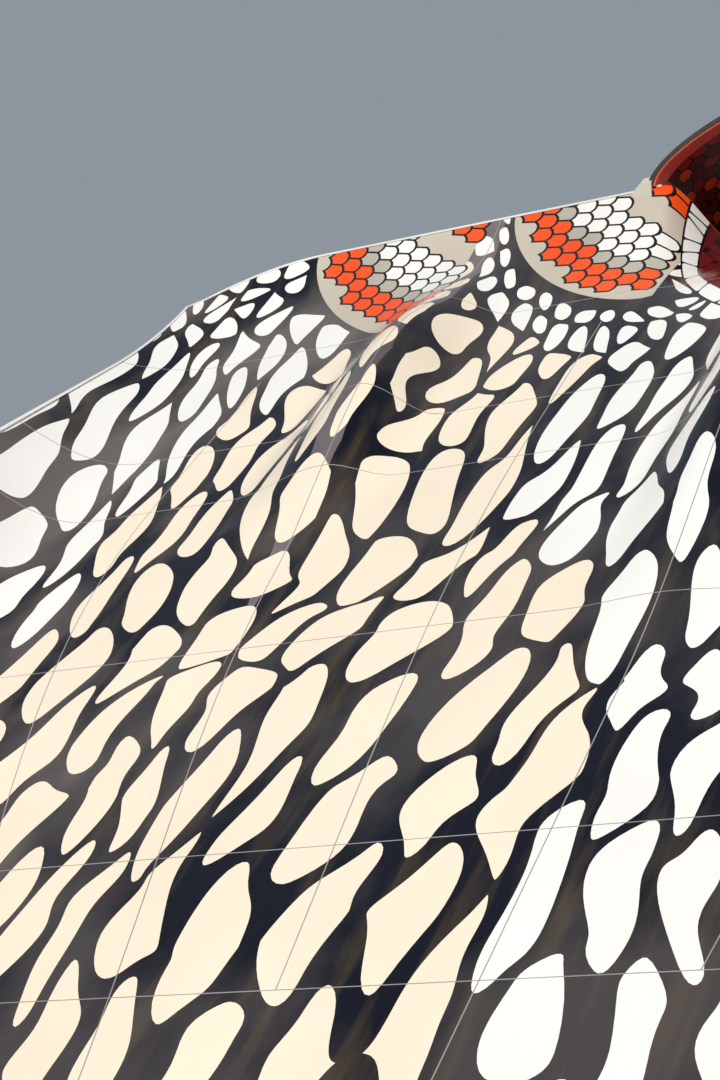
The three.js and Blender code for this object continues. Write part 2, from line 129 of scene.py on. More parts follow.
def together(*values):
    """Numbers and arrays, brought to one shape."""
    return np.broadcast_arrays(*(np.asarray(value, float) for value in values))


def left_of(steps):
    """Unit vectors to the left of flat directions."""
    return unit(np.stack([-steps[..., 1], steps[..., 0]], axis=-1))


def surface_normal(surface, u, v, d=0.004):
    """Unit normals of a surface over flat coordinates u and v, towards u crossed with v."""
    return unit(np.cross(surface(u + d, v) - surface(u - d, v), surface(u, v + d) - surface(u, v - d)))


# Form of the hood, over x across and s along the fall line
def half_width(s):
    return RUNOUT_HALF_WIDTH + (HALF_WIDTH - RUNOUT_HALF_WIDTH) * smoothstep(s, RUNOUT_LENGTH, WIDEST_S)


def strip_x(line, s):
    return LINE_SHARES[line] * half_width(s)


def row_s(x, row):
    """s of a row of the panel grid, which bends down at the hood's top corners."""
    out = np.clip((np.abs(x) - CORNER["from_x"]) / (HALF_WIDTH - CORNER["from_x"]), 0, 1)
    return row - CORNER["drop"] * out**2 * smoothstep(row, TOP_S - CORNER["reach"], TOP_S)


def outside_outlet(x):
    return smoothstep(np.abs(x), OUTLET["floor_half"], OUTLET["cheek_half"])


def form_height(x, s):
    """Height of the hood's own form over the fall line: walls, top edge and the outlet's dip."""
    up = s - SLOPE_S
    wall = np.clip(WALL["top"] + WALL["growth"] * (TOP_S - SLOPE_S - CORNER["drop"] - up), 0, WALL["cap"])
    low_wall = WALL["runout"] + (WALL["cap"] - WALL["runout"]) * smoothstep(s, RUNOUT_LENGTH, SLOPE_S)
    side = np.clip(1 - (half_width(s) - np.abs(x)) / WALL["width"], 0, 1)
    top = np.clip(1 - (TOP_S - s) / TOP_EDGE["width"], 0, 1)
    height = np.minimum(wall, low_wall) * side**2 + TOP_EDGE["height"] * top**2 * outside_outlet(x)
    along = np.maximum(0, up - DIP["start"])
    rounding = DIP["round"] * (1 - np.exp(-along / DIP["round"]))
    return height - DIP["slope"] * (along - rounding) * (1 - outside_outlet(x))


def ridge_height(x, s):
    """Height of the ridges between the lobes and of the run-out's divider."""
    up = s - SLOPE_S
    from_ridge = np.abs(x) - STRIP_SHARE * half_width(s)
    reach = from_ridge / np.where(from_ridge < 0, RIDGE["inner"], RIDGE["outer"])
    ridges = RIDGE["height"] * swell(up, *RIDGE["span"]) * bump(reach)
    centre = CENTRE_RIDGE["height"] * swell(up, *CENTRE_RIDGE["span"]) * bump(x / CENTRE_RIDGE["half"])
    divider = DIVIDER["height"] * (1 - smoothstep(s, RUNOUT_LENGTH, RUNOUT_LENGTH + DIVIDER["fade"]))
    return ridges + centre + divider * bump(x / DIVIDER["half"])


def skin_height(x, s):
    """Height of the hood's skin over the fall line, square to it."""
    return form_height(x, s) + ridge_height(x, s)


def place(x, s, n):
    """Points of the hood from x, s and the height n over the fall line, as an array of rows."""
    x, s, n = together(x, s, n)
    angle = np.clip((s - RUNOUT_LENGTH) / TRANSITION_RADIUS, 0, SLOPE)
    beyond = np.maximum(0, s - SLOPE_S)
    y = FRONT_Y + np.minimum(s, RUNOUT_LENGTH) + TRANSITION_RADIUS * np.sin(angle) + beyond * np.cos(angle)
    z = RUNOUT_Z + TRANSITION_RADIUS * (1 - np.cos(angle)) + beyond * np.sin(angle)
    return np.stack([x, y - n * np.sin(angle), z + n * np.cos(angle)], axis=-1)


def form_point(x, s):
    return place(x, s, form_height(x, s))


def hood_point(x, s):
    return place(x, s, skin_height(x, s))


def hood_normal(x, s):
    return surface_normal(hood_point, x, s)


def under_form(x, s, depth):
    """Points under the hood's own form, its ridges left out, at a depth square to it."""
    return form_point(x, s) - surface_normal(form_point, x, s) * np.asarray(depth, float)[..., None]


# Flat outlines
def clip_polygon(polygon, normal, limit):
    """The part of a convex polygon where the dot product with normal is at most limit."""
    kept = []
    for a, b in zip(polygon, polygon[1:] + polygon[:1]):
        da = a[0] * normal[0] + a[1] * normal[1] - limit
        db = b[0] * normal[0] + b[1] * normal[1] - limit
        if da <= 0:
            kept.append(a)
        if da * db < 0:
            t = da / (da - db)
            kept.append((a[0] + t * (b[0] - a[0]), a[1] + t * (b[1] - a[1])))
    return kept


def round_corners(points, times, ratio):
    """Chaikin's corner cutting of a closed outline."""
    p = np.array(points)
    for _ in range(times):
        following = np.roll(p, -1, axis=0)
        cut = ratio * (following - p)
        p = np.stack([p + cut, following - cut], axis=1).reshape(-1, 2)
    return p


def split_edges(points, step):
    """The same closed outline with no edge longer than step."""
    result = []
    for a, b in zip(points, np.roll(points, -1, axis=0)):
        count = max(1, math.ceil(np.linalg.norm(b - a) / step))
        result += [a + (b - a) * k / count for k in range(count)]
    return np.array(result)


def signed_area(polygon):
    """The area inside an outline, negative if it runs clockwise."""
    x, y = np.asarray(polygon).T
    return 0.5 * float((x * np.roll(y, -1) - y * np.roll(x, -1)).sum())


def counter_clockwise(polygon):
    """The outline, turned round if it runs clockwise."""
    return polygon if signed_area(polygon) > 0 else polygon[::-1]


def inset(polygon, distance):
    """The closed outline moved inwards by a distance, or outwards by a negative one."""
    p = counter_clockwise(np.asarray(polygon))
    inward = left_of(np.roll(p, -1, axis=0) - p)
    corner = inward + np.roll(inward, 1, axis=0)
    sharpest = 0.6
    corner /= np.maximum(sharpest, (corner**2).sum(1, keepdims=True) / 2)
    return p + corner * distance


def ribbon(line, width):
    """A closed outline around a line of points."""
    beside = left_of(np.gradient(line, axis=0)) * np.asarray(width).reshape(-1, 1) / 2
    return np.concatenate([line + beside, (line - beside)[::-1]])


def spaced_along(line, first, spacing, spare=0.0):
    """Evenly spaced points along a flat line, from a first distance to a spare length before its end."""
    lengths = np.concatenate([[0], np.cumsum(np.linalg.norm(np.diff(line, axis=0), axis=1))])
    distances = np.arange(first, lengths[-1] - spare, spacing)
    return np.stack([np.interp(distances, lengths, column) for column in line.T], axis=1)


def rectangle(x0, y0, x1, y1, step=None):
    corners = np.array([(x0, y0), (x1, y0), (x1, y1), (x0, y1)], float)
    return split_edges(corners, step) if step else corners


def inner_grid(x0, y0, x1, y1, step):
    xs = np.linspace(x0, x1, max(3, round((x1 - x0) / step)))[1:-1]
    ys = np.linspace(y0, y1, max(3, round((y1 - y0) / step)))[1:-1]
    return [(x, y) for y in ys for x in xs]


# Smooth noise, seeded, for warping the pattern
NOISE = dict(waves=10, spread=(0.7, 1.5), height=0.6)


def noise_field(seed, wavelength):
    """A smooth field of two values in about -1..1 that varies over the given wavelength."""
    rng = np.random.default_rng(seed)
    waves = []
    for _ in range(NOISE["waves"]):
        direction = rng.uniform(0, 2 * np.pi)
        k = 2 * np.pi / (wavelength * rng.uniform(*NOISE["spread"]))
        waves.append((k * math.cos(direction), k * math.sin(direction), rng.uniform(0, 2 * np.pi, 2)))

    def field(p):
        values = sum(np.sin((kx * p[:, 0] + ky * p[:, 1])[:, None] + phases) for kx, ky, phases in waves)
        return values / math.sqrt(len(waves) * 0.5) * NOISE["height"]

    return field


# Fish-scale tiles: columns of scales whose round tips cover the cusps of the next column
TILE_LENGTH = 0.2
TILE_WIDTH = 0.235
TILE_BULGE = 0.056
TILE_LINE = 0.031
TILE_STEP = 0.06
TILE_MIDDLE = 0.3
TIP_POWER = 2.4


def tile_outline():
    """One scale around its own corner line: the round tip towards +u, the cusp towards -u."""
    half = TILE_WIDTH / 2
    v = np.linspace(-1, 1, 13)
    tip = np.stack([TILE_BULGE * (1 - np.abs(v) ** TIP_POWER), v * half], axis=1)
    root = np.stack([-TILE_LENGTH + TILE_BULGE * (1 - (1 - np.abs(v)) ** TIP_POWER), -v * half], axis=1)
    return split_edges(np.concatenate([tip, root]), TILE_STEP)


def tiles(columns, rows, material_at, to_surface):
    """Line and face outlines of a field of scales; a tile whose material is None is left out."""
    lines, faces = [], []
    outline = tile_outline()
    for i in columns:
        for j in rows:
            u = i * TILE_LENGTH
            v = (j + (0.5 if i % 2 else 0.0)) * TILE_WIDTH
            material = material_at(u - TILE_MIDDLE * TILE_LENGTH, v)
            if material is None:
                continue
            own = outline + np.array([u, v])
            lines.append((to_surface(inset(own, -TILE_LINE / 2)), "tile_line"))
            faces.append((to_surface(inset(own, TILE_LINE / 2)), material))
    return lines + faces


def dark_red(u, v):
    return "tile_dark_red"


def tile_rectangle(start, width, length, material_at):
    """Tiles over a rectangle from its lowest corner, their tips towards its near end."""
    def to_surface(p):
        return np.stack([p[:, 1], -p[:, 0]], axis=1) + start

    columns = range(-math.ceil(length / TILE_LENGTH) - 1, 2)
    rows = range(-1, math.ceil(width / TILE_WIDTH) + 1)
    return tiles(columns, rows, material_at, to_surface)


# Roundels of tiles: elliptical discs on the top edge, cut off behind the ridge or by the outlet's border
ROUNDELS = [
    dict(x=1.7, across=1.86, down=2.2, back=0.12, shear=0.25, clear=0.15),
    dict(x=3.9, across=1.95, down=2.2, back=0.0, shear=0.35, clear=-0.02),
]
DISC_POWER = 1.5
ROUNDEL_GAP = 0.055
ROUNDEL_MARGIN = 0.12
ROUNDEL_RINGS = [(0.19, "tile_orange"), (0.36, None), (0.62, "tile_white"), (0.71, "tile_grey"),
                 (0.9, "tile_orange")]
ABOVE = 0.3
HALO_STRETCH = 2.0


def ring_material(share):
    return next((name for limit, name in ROUNDEL_RINGS if share <= limit), None)


def disc_arc(r, grow, count=48):
    """The rounded edge of a roundel in (x, s), from a little behind its centre outwards, for positive x."""
    angles = np.linspace(-r["back"], math.pi / 2, count)
    power = 2 / DISC_POWER
    x = r["x"] + (r["across"] + grow) * np.sign(angles) * np.abs(np.sin(angles)) ** power
    return np.stack([x, TOP_S - (r["down"] + grow * HALO_STRETCH) * np.abs(np.cos(angles)) ** power], axis=1)


def closed_above(arc):
    """The outline of what an arc holds below the top edge, and a strip above it."""
    return np.concatenate([[(arc[0, 0], TOP_S + ABOVE)], arc, [(arc[-1, 0], TOP_S + ABOVE)]])


def disc_share(r, u, v, grow=0.0):
    """How far out a point is, u across and v below the centre: 1 on the disc's edge."""
    across, down = r["across"] + grow, r["down"] + grow * HALO_STRETCH
    return ((abs(u) / across) ** DISC_POWER + (abs(v) / down) ** DISC_POWER) ** (1 / DISC_POWER)


def roundel(side, r):
    """All outlines of one roundel, from the lowest to the highest."""
    count = math.ceil(r["across"] / TILE_LENGTH) + 2
    rows = math.ceil((r["down"] + r["shear"] * r["across"]) / TILE_WIDTH) + 2
    edge = r["x"] - r["across"] * math.sin(r["back"]) ** (2 / DISC_POWER)

    def material_at(u, v):
        below = v + r["shear"] * u
        return ring_material(disc_share(r, u, below)) if below > -ABOVE else None

    def to_surface(p):
        return np.stack([side * (r["x"] - p[:, 0]), TOP_S - p[:, 1] - r["shear"] * p[:, 0]], axis=1)

    base = [(closed_above(disc_arc(r, grow)) * np.array([side, 1]), name)
            for grow, name in ((ROUNDEL_GAP, "ground"), (0.0, "tile_beige"))]
    field = tiles(range(-count, 3), range(-2, rows), material_at, to_surface)
    return base + [tile for tile in field if abs(tile[0][:, 0]).min() > edge - ROUNDEL_MARGIN]


def near_roundel(site, roundels, margin):
    """True for a site inside a roundel or within a margin of it."""
    x, below = abs(site[0]), TOP_S - site[1]
    return any(x > r["x"] - r["clear"] and disc_share(r, max(0.0, x - r["x"]), max(0.0, below), margin) < 1
               for r in roundels)


# The outlet's red tongue of tiles, in the middle of the top edge, inside a white veined border
TONGUE = dict(half=1.6, depth=2.9, above=0.1, border=0.14, low_border=0.3, tiled=0.94)
VEIN = dict(width=0.02, least=0.065, growth=0.24, spread=(0.7, 1.35), slant=0.035, rounding=0.16, inner=0.1,
            outer=0.9)


def tongue_arc(share, angles):
    """Points of an arc round the tongue in (x, s): share 0 is its own edge, 1 the border's outer edge."""
    angles = np.asarray(angles)
    half = TONGUE["half"] + share * TONGUE["border"]
    depth = TONGUE["depth"] + share * TONGUE["low_border"]
    return np.stack([half * np.cos(angles), TOP_S + TONGUE["above"] - depth * np.sin(angles)], axis=-1)


def veined_cells():
    """White cells along the tongue's border, larger towards its foot, with thin dark veins between them."""
    rng = random.Random(7)
    cuts = [0.0]
    while cuts[-1] < math.pi:
        width = VEIN["least"] + VEIN["growth"] * math.sin(cuts[-1]) ** 2
        cuts.append(cuts[-1] + width * rng.uniform(*VEIN["spread"]))
    slants = [rng.uniform(-VEIN["slant"], VEIN["slant"]) * (1 + math.sin(cut) ** 2) for cut in cuts]
    cells = []
    for (cut, slant), (next_cut, next_slant) in zip(zip(cuts, slants), zip(cuts[1:], slants[1:])):
        low = np.linspace(cut + slant + VEIN["width"] / 4, next_cut + next_slant - VEIN["width"] / 4, 4)
        high = np.linspace(next_cut - next_slant - VEIN["width"] / 4, cut - slant + VEIN["width"] / 4, 4)
        corners = np.concatenate([tongue_arc(VEIN["inner"], low), tongue_arc(VEIN["outer"], high)])
        cells.append((round_corners(corners, 2, VEIN["rounding"]), "cell_white"))
    return cells


def tongue():
    """All outlines of the tongue, from the lowest to the highest."""
    def to_surface(p):
        return np.stack([p[:, 1], TOP_S + ABOVE + p[:, 0]], axis=1)

    half, depth = TONGUE["half"], TONGUE["depth"]
    columns = range(-math.ceil((depth + ABOVE) / TILE_LENGTH), 2)
    rows = range(-math.ceil(half / TILE_WIDTH), math.ceil(half / TILE_WIDTH) + 1)
    inside = []
    for outline, material in tiles(columns, rows, dark_red, to_surface):
        x, s = outline.mean(0)
        if math.hypot(x / half, max(0.0, TOP_S + TONGUE["above"] - s) / depth) < TONGUE["tiled"]:
            inside.append((outline, material))
    base = [(closed_above(tongue_arc(share, np.linspace(0, math.pi, 80))), name)
            for share, name in ((1, "ground"), (0, "tile_dark_red"))]
    return base + veined_cells() + inside


# Cells: a staggered, jittered lattice that follows the fall line and fans out below the outlet
CELL_WIDTH = 0.6
CELL_LENGTH = 2.3
CELL_TOP_LENGTH = 0.76
CELL_SHRINK = (14.6, 19.4)
CELL_GAP = dict(width=0.115, least=0.4, spread=(0.8, 1.25))
CELL_JITTER = 0.17
JITTER_ALONG = 0.6
CELL_STEP = 0.075
CELL_ROUNDING = 0.27
LEAST_AREA = 0.014
NEIGHBOURS = 18
LATTICE = dict(columns=40, margin=1.0, side_margin=1.2, look_ahead=0.4)
FAN = dict(rate=0.075, from_s=11.0)
OUTER = dict(x=4.3, stretch=0.32, span=(12.5, 16.5))
HALO = dict(width=0.48, rows=(-0.05, 0.17, 0.39), starts=(0.3, 0.8), pitch=0.225, jitter=0.02, rounding=0.3,
            lean=0.3, back=0.34, reach=(0.4, 0.7))
ROUNDEL_CLEARANCE = 0.08

# Warp of the cells in x and s, and where they are cream
BEND = (0.17, 0.25)
WOBBLE = (0.06, 0.12)
PINCH = 0.024
CREAM = dict(outer=5.75, narrowing=1.1, narrow=(15.8, 17.3), left=-0.15, right=1.9, parting=1.6, lean=0.1,
             part=(10.8, 14.2))
bend_field = noise_field(5, 3.6)
wobble_field = noise_field(11, 1.1)
pinch_field = noise_field(23, 0.55)

# Sealed joints between panels and between their moulded parts, and bands along the ridges: painted sheen over
# each crest, and bare ground beside it that is partly painted shade
SEAM_WIDTH = 0.009
MOULD_ROWS = [3.9, 8.9, 14.35, 17.6]
MOULD_SHARES = [0.27, 0.76]
SEAM_ENDS = dict(mould=TOP_S - 2.6, centre=TOP_S - 3.0)
# CREST places the band of painted sheen, a painted sky reflection, along each crest
CREST = dict(offset=0.06, width=0.3, least=0.01, start=11.4, full=14.6, wave=(0.2, 5.1))
# FLANK: bare ground beside each crest, widened to paint the flank's shadow: partly real dark ground, partly
# painted shade
FLANK = dict(offset=-0.15, width=0.1, least=0.02, start=SLOPE_S + 6.7, end=SLOPE_S + 11.7, wave=(0.22, 4.3),
             ripple=(0.14, 9.7, 1), sway=(0.03, 3.1))


def fan(s):
    """How much wider the lattice is at s than at the top edge."""
    return np.exp(FAN["rate"] * (TOP_S - np.maximum(s, FAN["from_s"])))


def cell_length(s):
    """Length of a cell at s: short at the top edge, full from the middle of the slope down."""
    return CELL_TOP_LENGTH + (CELL_LENGTH - CELL_TOP_LENGTH) * (1 - smoothstep(s, *CELL_SHRINK))


def lattice_rows():
    """s of each lattice row from before the run-out to above the top edge."""
    rows = []
    s = -LATTICE["margin"]
    while s < TOP_S + LATTICE["margin"]:
        rows.append(s)
        s += 0.5 * float(cell_length(s + LATTICE["look_ahead"]))
    return rows


def outwards(x, s):
    """x of a lattice site, spread out near the sides at the top of the hood."""
    beyond = max(0.0, abs(x) - OUTER["x"])
    return x + math.copysign(OUTER["stretch"] * beyond * float(smoothstep(s, *OUTER["span"])), x)


def lattice_sites(rng):
    """Sites of the large cells, their metric and their reach: staggered rows that leave the halo free."""
    base = CELL_WIDTH / float(fan(0.0))
    sites = []
    for j, s in enumerate(lattice_rows()):
        width, length = base * float(fan(s)), float(cell_length(s))
        for i in range(-LATTICE["columns"], LATTICE["columns"] + 1):
            even = (i + (0.5 if j % 2 else 0.0)) * width
            x = outwards(even + rng.uniform(-1, 1) * CELL_JITTER * width, s)
            along = s + rng.uniform(-1, 1) * CELL_JITTER * length * JITTER_ALONG
            outside = abs(x) >= HALF_WIDTH + LATTICE["side_margin"]
            if not outside and not near_roundel((x, along), ROUNDELS[:1], HALO["width"]):
                sites.append((x, along, width**-2, 0.0, length**-2, 2 * width, 2 * length))
    return sites


def halo_sites(rng):
    """Sites of the small cells in rows round the roundels beside the outlet, in a leaning metric."""
    pitch, jitter = HALO["pitch"], HALO["jitter"]
    to_flat = np.array([[1.0, HALO["lean"]], [0.0, 1 / HALO_STRETCH]])
    metric = to_flat.T @ to_flat / pitch**2
    arc = disc_arc(dict(ROUNDELS[0], back=HALO["back"]), 0.0, 200)
    flat = np.stack([arc[:, 0], TOP_S - arc[:, 1]], axis=1) @ to_flat.T
    outward = left_of(np.gradient(flat, axis=0))
    sites = []
    for side, _ in SIDES:
        own_metric = (metric[0, 0], -side * metric[0, 1], metric[1, 1])
        for k, grow in enumerate(HALO["rows"]):
            for point in spaced_along(flat + grow * outward, pitch * HALO["starts"][k % 2], pitch):
                x, below = np.linalg.solve(to_flat, [c + rng.uniform(-jitter, jitter) for c in point])
                sites.append((side * x, TOP_S - below, *own_metric, *HALO["reach"]))
    return sites


def voronoi_cell(k, sites, metrics, box, gap):
    """The cell of site k under the metrics of all sites, pulled back from its neighbours by half the gap."""
    near = sites - sites[k]
    metric = (metrics + metrics[k]) / 2
    pull = np.stack([metric[:, 0] * near[:, 0] + metric[:, 1] * near[:, 1],
                     metric[:, 1] * near[:, 0] + metric[:, 2] * near[:, 1]], axis=1)
    away = (pull * near).sum(1)
    a, b = box
    polygon = [(-a, -b), (a, -b), (a, b), (-a, b)]
    for other in np.argsort(away)[1:NEIGHBOURS + 1]:
        n = pull[other]
        polygon = clip_polygon(polygon, n, float(away[other]) / 2 - gap / 2 * float(np.hypot(*n)))
    return polygon


def warp(points):
    """Bends outlines by three noise fields, less where cells are small."""
    small = fan(points[:, 1])[:, None] / float(fan(0.0))
    wobble = wobble_field(points) * WOBBLE + pinch_field(points) * PINCH
    return points + (bend_field(points) * BEND + wobble) * small


def beside_flank(polygon, site):
    """The part of a cell, around its site, on its own side of the bare flank of a ridge, whose band of ground
    is partly painted shade.
    """
    if not FLANK["start"] < site[1] < FLANK["end"]:
        return polygon
    side = math.copysign(1, site[0])
    line = STRIP_SHARE * float(half_width(site[1])) + FLANK["offset"]
    beyond = side * float(warp(site[None])[0, 0]) - line
    way = math.copysign(1, beyond)
    return clip_polygon(polygon, (-way * side, 0), way * beyond - FLANK["width"] / 2)


def cream_zone(x, s):
    """True where cells are cream: a band over the ridge on each half, off the middle at the foot."""
    if near_roundel((x, s), ROUNDELS[:1], HALO["width"]):
        return False
    parting = CREAM["parting"] * float(smoothstep(s, *CREAM["part"]))
    outer = CREAM["outer"] - CREAM["narrowing"] * float(smoothstep(s, *CREAM["narrow"]))
    return -outer < x < CREAM["left"] - parting or CREAM["right"] - CREAM["lean"] * parting < x < outer


def cells():
    """Outlines in (x, s) of the cells of the whole hood, with their colours."""
    rng = random.Random(41)
    table = np.array(lattice_sites(rng) + halo_sites(rng))
    sites, metrics, boxes = table[:, :2], table[:, 2:5], table[:, 5:]
    found = []
    for k, site in enumerate(sites):
        width = float(metrics[k, 0]) ** -0.5
        share = CELL_GAP["least"] + (1 - CELL_GAP["least"]) * min(1.0, width / CELL_WIDTH)
        gap = CELL_GAP["width"] * share * rng.uniform(*CELL_GAP["spread"])
        polygon = beside_flank(voronoi_cell(k, sites, metrics, boxes[k], gap), site)
        small = len(polygon) < 3 or signed_area(polygon) <= LEAST_AREA
        if small or near_roundel(site, ROUNDELS, ROUNDEL_CLEARANCE):
            continue
        rounded = round_corners(polygon, 3, HALO["rounding"] if metrics[k, 1] else CELL_ROUNDING)
        outline = warp(split_edges(rounded + site, CELL_STEP))
        found.append((outline, "cell_cream" if cream_zone(*site) else "cell_white"))
    return found


def ridge_band(side, s, offset, width, name):
    """A band in (x, s) along the crest line of a ridge, at an offset towards the side."""
    return ribbon(np.stack([side * (STRIP_SHARE * half_width(s) + offset), s], axis=1), width), name


def wave(s, height, rate, phase=0):
    return height * np.sin(s * rate + phase)


def crest_band(side):
    """A purple-grey band of painted sheen over the crest of a ridge, under the cells: a painted sky
    reflection on the crest's rounding.
    """
    s = np.linspace(CREST["start"], TOP_S + 0.1, 90)
    growth = smoothstep(s, CREST["start"], CREST["full"])
    width = CREST["width"] * growth * (1 + wave(s, *CREST["wave"])) + CREST["least"]
    return ridge_band(side, s, CREST["offset"], width, "crest_dull")


def flank_ground_and_shade(side):
    """Bare ground beside the crest of a ridge, with a wavy edge that tapers out at both ends; it is widened
    to stand for the flank's shadow, so it is partly real dark ground and partly painted shade.
    """
    s = np.linspace(FLANK["start"], FLANK["end"], 90)
    taper = np.sin(np.pi * np.clip((s - FLANK["start"]) / (FLANK["end"] - FLANK["start"]), 0, 1)) ** 0.5
    swing = 1 + wave(s, *FLANK["wave"]) + wave(s, *FLANK["ripple"])
    width = np.maximum(FLANK["least"], FLANK["width"] * taper * swing)
    return ridge_band(side, s, FLANK["offset"] + wave(s, *FLANK["sway"]), width, "ground")


def row_line(s, count=110):
    x = np.linspace(-1, 1, count) * half_width(s)
    return np.stack([x, row_s(x, s)], axis=1)


def share_line(share, s_from, s_to, count=90):
    s = np.linspace(s_from, s_to, count)
    return np.stack([share * half_width(s), s], axis=1)


def seams():
    """The sealed joints up and across the hood."""
    lines = []
    for side, _ in SIDES:
        lines += [share_line(side * share, ROW_SEAMS[2], SEAM_ENDS["mould"]) for share in MOULD_SHARES]
        lines.append(share_line(side * STRIP_SHARE, ROW_SEAMS[1], TOP_S))
    lines.append(share_line(0, 0, SEAM_ENDS["centre"]))
    lines += [row_line(s) for s in ROW_SEAMS[1:-1] + MOULD_ROWS]
    return [(ribbon(line, SEAM_WIDTH), "seam_sealant") for line in lines]


def make_regions():
    """All outlines to imprint in (x, s), from the lowest to the highest, with their materials."""
    regions = [crest_band(side) for side, _ in SIDES] + cells() + [flank_ground_and_shade(side) for side, _ in SIDES]
    for side, _ in SIDES:
        for r in ROUNDELS:
            regions += roundel(side, r)
    return regions + tongue() + seams()


# Materials
MATERIALS = {}


class Finish:
    """A new material, with helpers that add nodes to it and return their outputs."""

    def __init__(self, name):
        material = bpy.data.materials.new(name)
        material.use_nodes = True
        MATERIALS[name] = material
        self.nodes, self.links = material.node_tree.nodes, material.node_tree.links

    def feed(self, node, inputs):
        """Sets a node's inputs to values, or links them to other nodes' outputs."""
        for key, value in inputs.items():
            if isinstance(value, bpy.types.NodeSocket):
                self.links.new(value, node.inputs[key])
            else:
                node.inputs[key].default_value = value

    def surface(self, **inputs):
        """Feeds the surface shader; an underscore in a keyword stands for a space."""
        shader = self.nodes["Principled BSDF"]
        self.feed(shader, {key.replace("_", " "): value for key, value in inputs.items()})

    def node(self, kind, output, inputs, **settings):
        """An output of a new node."""
        node = self.nodes.new("ShaderNode" + kind)
        for key, value in settings.items():
            setattr(node, key, value)
        self.feed(node, inputs)
        return node.outputs[output]

    def position(self):
        return self.node("TexCoord", "Object", {})

    def span(self, value, low, high, to_low=0.0, to_high=1.0):
        """A value mapped from one range to another, and held inside it."""
        inputs = {"Value": value, "From Min": low, "From Max": high, "To Min": to_low, "To Max": to_high}
        return self.node("MapRange", "Result", inputs)

    def mix(self, factor, a, b):
        """A mix between two colours, each three numbers or an output."""
        ends = {key: (*end, 1) if isinstance(end, tuple) else end for key, end in (("A", a), ("B", b))}
        return self.node("Mix", "Result", {"Factor": factor, **ends}, data_type="RGBA")

    def noise(self, scale, stretch, detail):
        """Noise over the object's own coordinates, in metres, squeezed along some axes."""
        vector = self.node("Mapping", "Vector", {"Vector": self.position(), "Scale": stretch})
        return self.node("TexNoise", "Fac", {"Vector": vector, "Scale": scale, "Detail": detail})

    def relief(self, height, strength, distance):
        inputs = {"Height": height, "Strength": strength, "Distance": distance}
        self.surface(Normal=self.node("Bump", "Normal", inputs))


def gelcoat(name, colour, shade, rough=(0.1, 0.24), relief=0.02, specular=0.5):
    """Polished gelcoat with faint clouding, and a wet gloss that varies down the slope."""
    finish = Finish(name)
    clouds = finish.span(finish.noise(0.9, (1, 0.5, 0.5), 4), 0.35, 0.7)
    film = finish.span(finish.noise(1.6, (2.2, 0.35, 0.35), 6), 0.35, 0.65, *rough)
    finish.surface(Base_Color=finish.mix(clouds, shade, colour), Roughness=film, Specular_IOR_Level=specular)
    finish.relief(finish.noise(5.0, (1.6, 0.8, 0.8), 3), relief, 0.02)


def wet_ground():
    """The dark ground colour: blue-black with brownish runs of wet lime film, and grey patches of painted
    sheen, a painted sky reflection that grows beyond the ridges.
    """
    finish = Finish("ground")
    runs = finish.span(finish.noise(1.5, (3.4, 0.4, 0.4), 7), 0.5, 0.7)
    wet = finish.mix(runs, (0.004, 0.005, 0.012), (0.05, 0.037, 0.024))
    x = finish.node("SeparateXYZ", "X", {"Vector": finish.position()})
    from_middle = finish.node("Math", "Value", {0: x}, operation="ABSOLUTE")
    # patches and beyond_ridges place the painted sheen: grey (0.16, 0.14, 0.13) standing for a sky
    # reflection, stronger out beyond the ridges
    patches = finish.span(finish.noise(0.55, (1, 0.6, 0.6), 5), 0.44, 0.6, 0.0, 0.8)
    beyond_ridges = finish.span(from_middle, 3.4, 4.6, 0.45, 1.0)
    dulling_and_sheen = finish.node("Math", "Value", {0: beyond_ridges, 1: patches}, operation="MULTIPLY")
    film = finish.span(finish.noise(2.6, (2.6, 0.4, 0.4), 6), 0.35, 0.65, 0.08, 0.3)
    tone = finish.mix(dulling_and_sheen, wet, (0.16, 0.14, 0.13))
    finish.surface(Base_Color=tone, Roughness=film, Specular_IOR_Level=0.14)
    finish.relief(finish.noise(7.0, (2.0, 0.7, 0.7), 4), 0.05, 0.02)


def galvanised():
    """Hot-dip galvanised steel with its spangle, its gloss duller in patches."""
    finish = Finish("galvanised")
    spangle = finish.node("TexVoronoi", "Color", {"Vector": finish.position(), "Scale": 26})
    shade = finish.node("SeparateColor", "Red", {"Color": spangle})
    tone = finish.mix(finish.span(shade, 0, 1), (0.36, 0.38, 0.4), (0.52, 0.54, 0.56))
    dulling_and_sheen = finish.span(finish.noise(2.2, (1, 1, 0.4), 6), 0.35, 0.65, 0.32, 0.55)
    finish.surface(Base_Color=tone, Metallic=0.85, Roughness=dulling_and_sheen)
    finish.relief(shade.node.outputs["Green"], 0.05, 0.004)


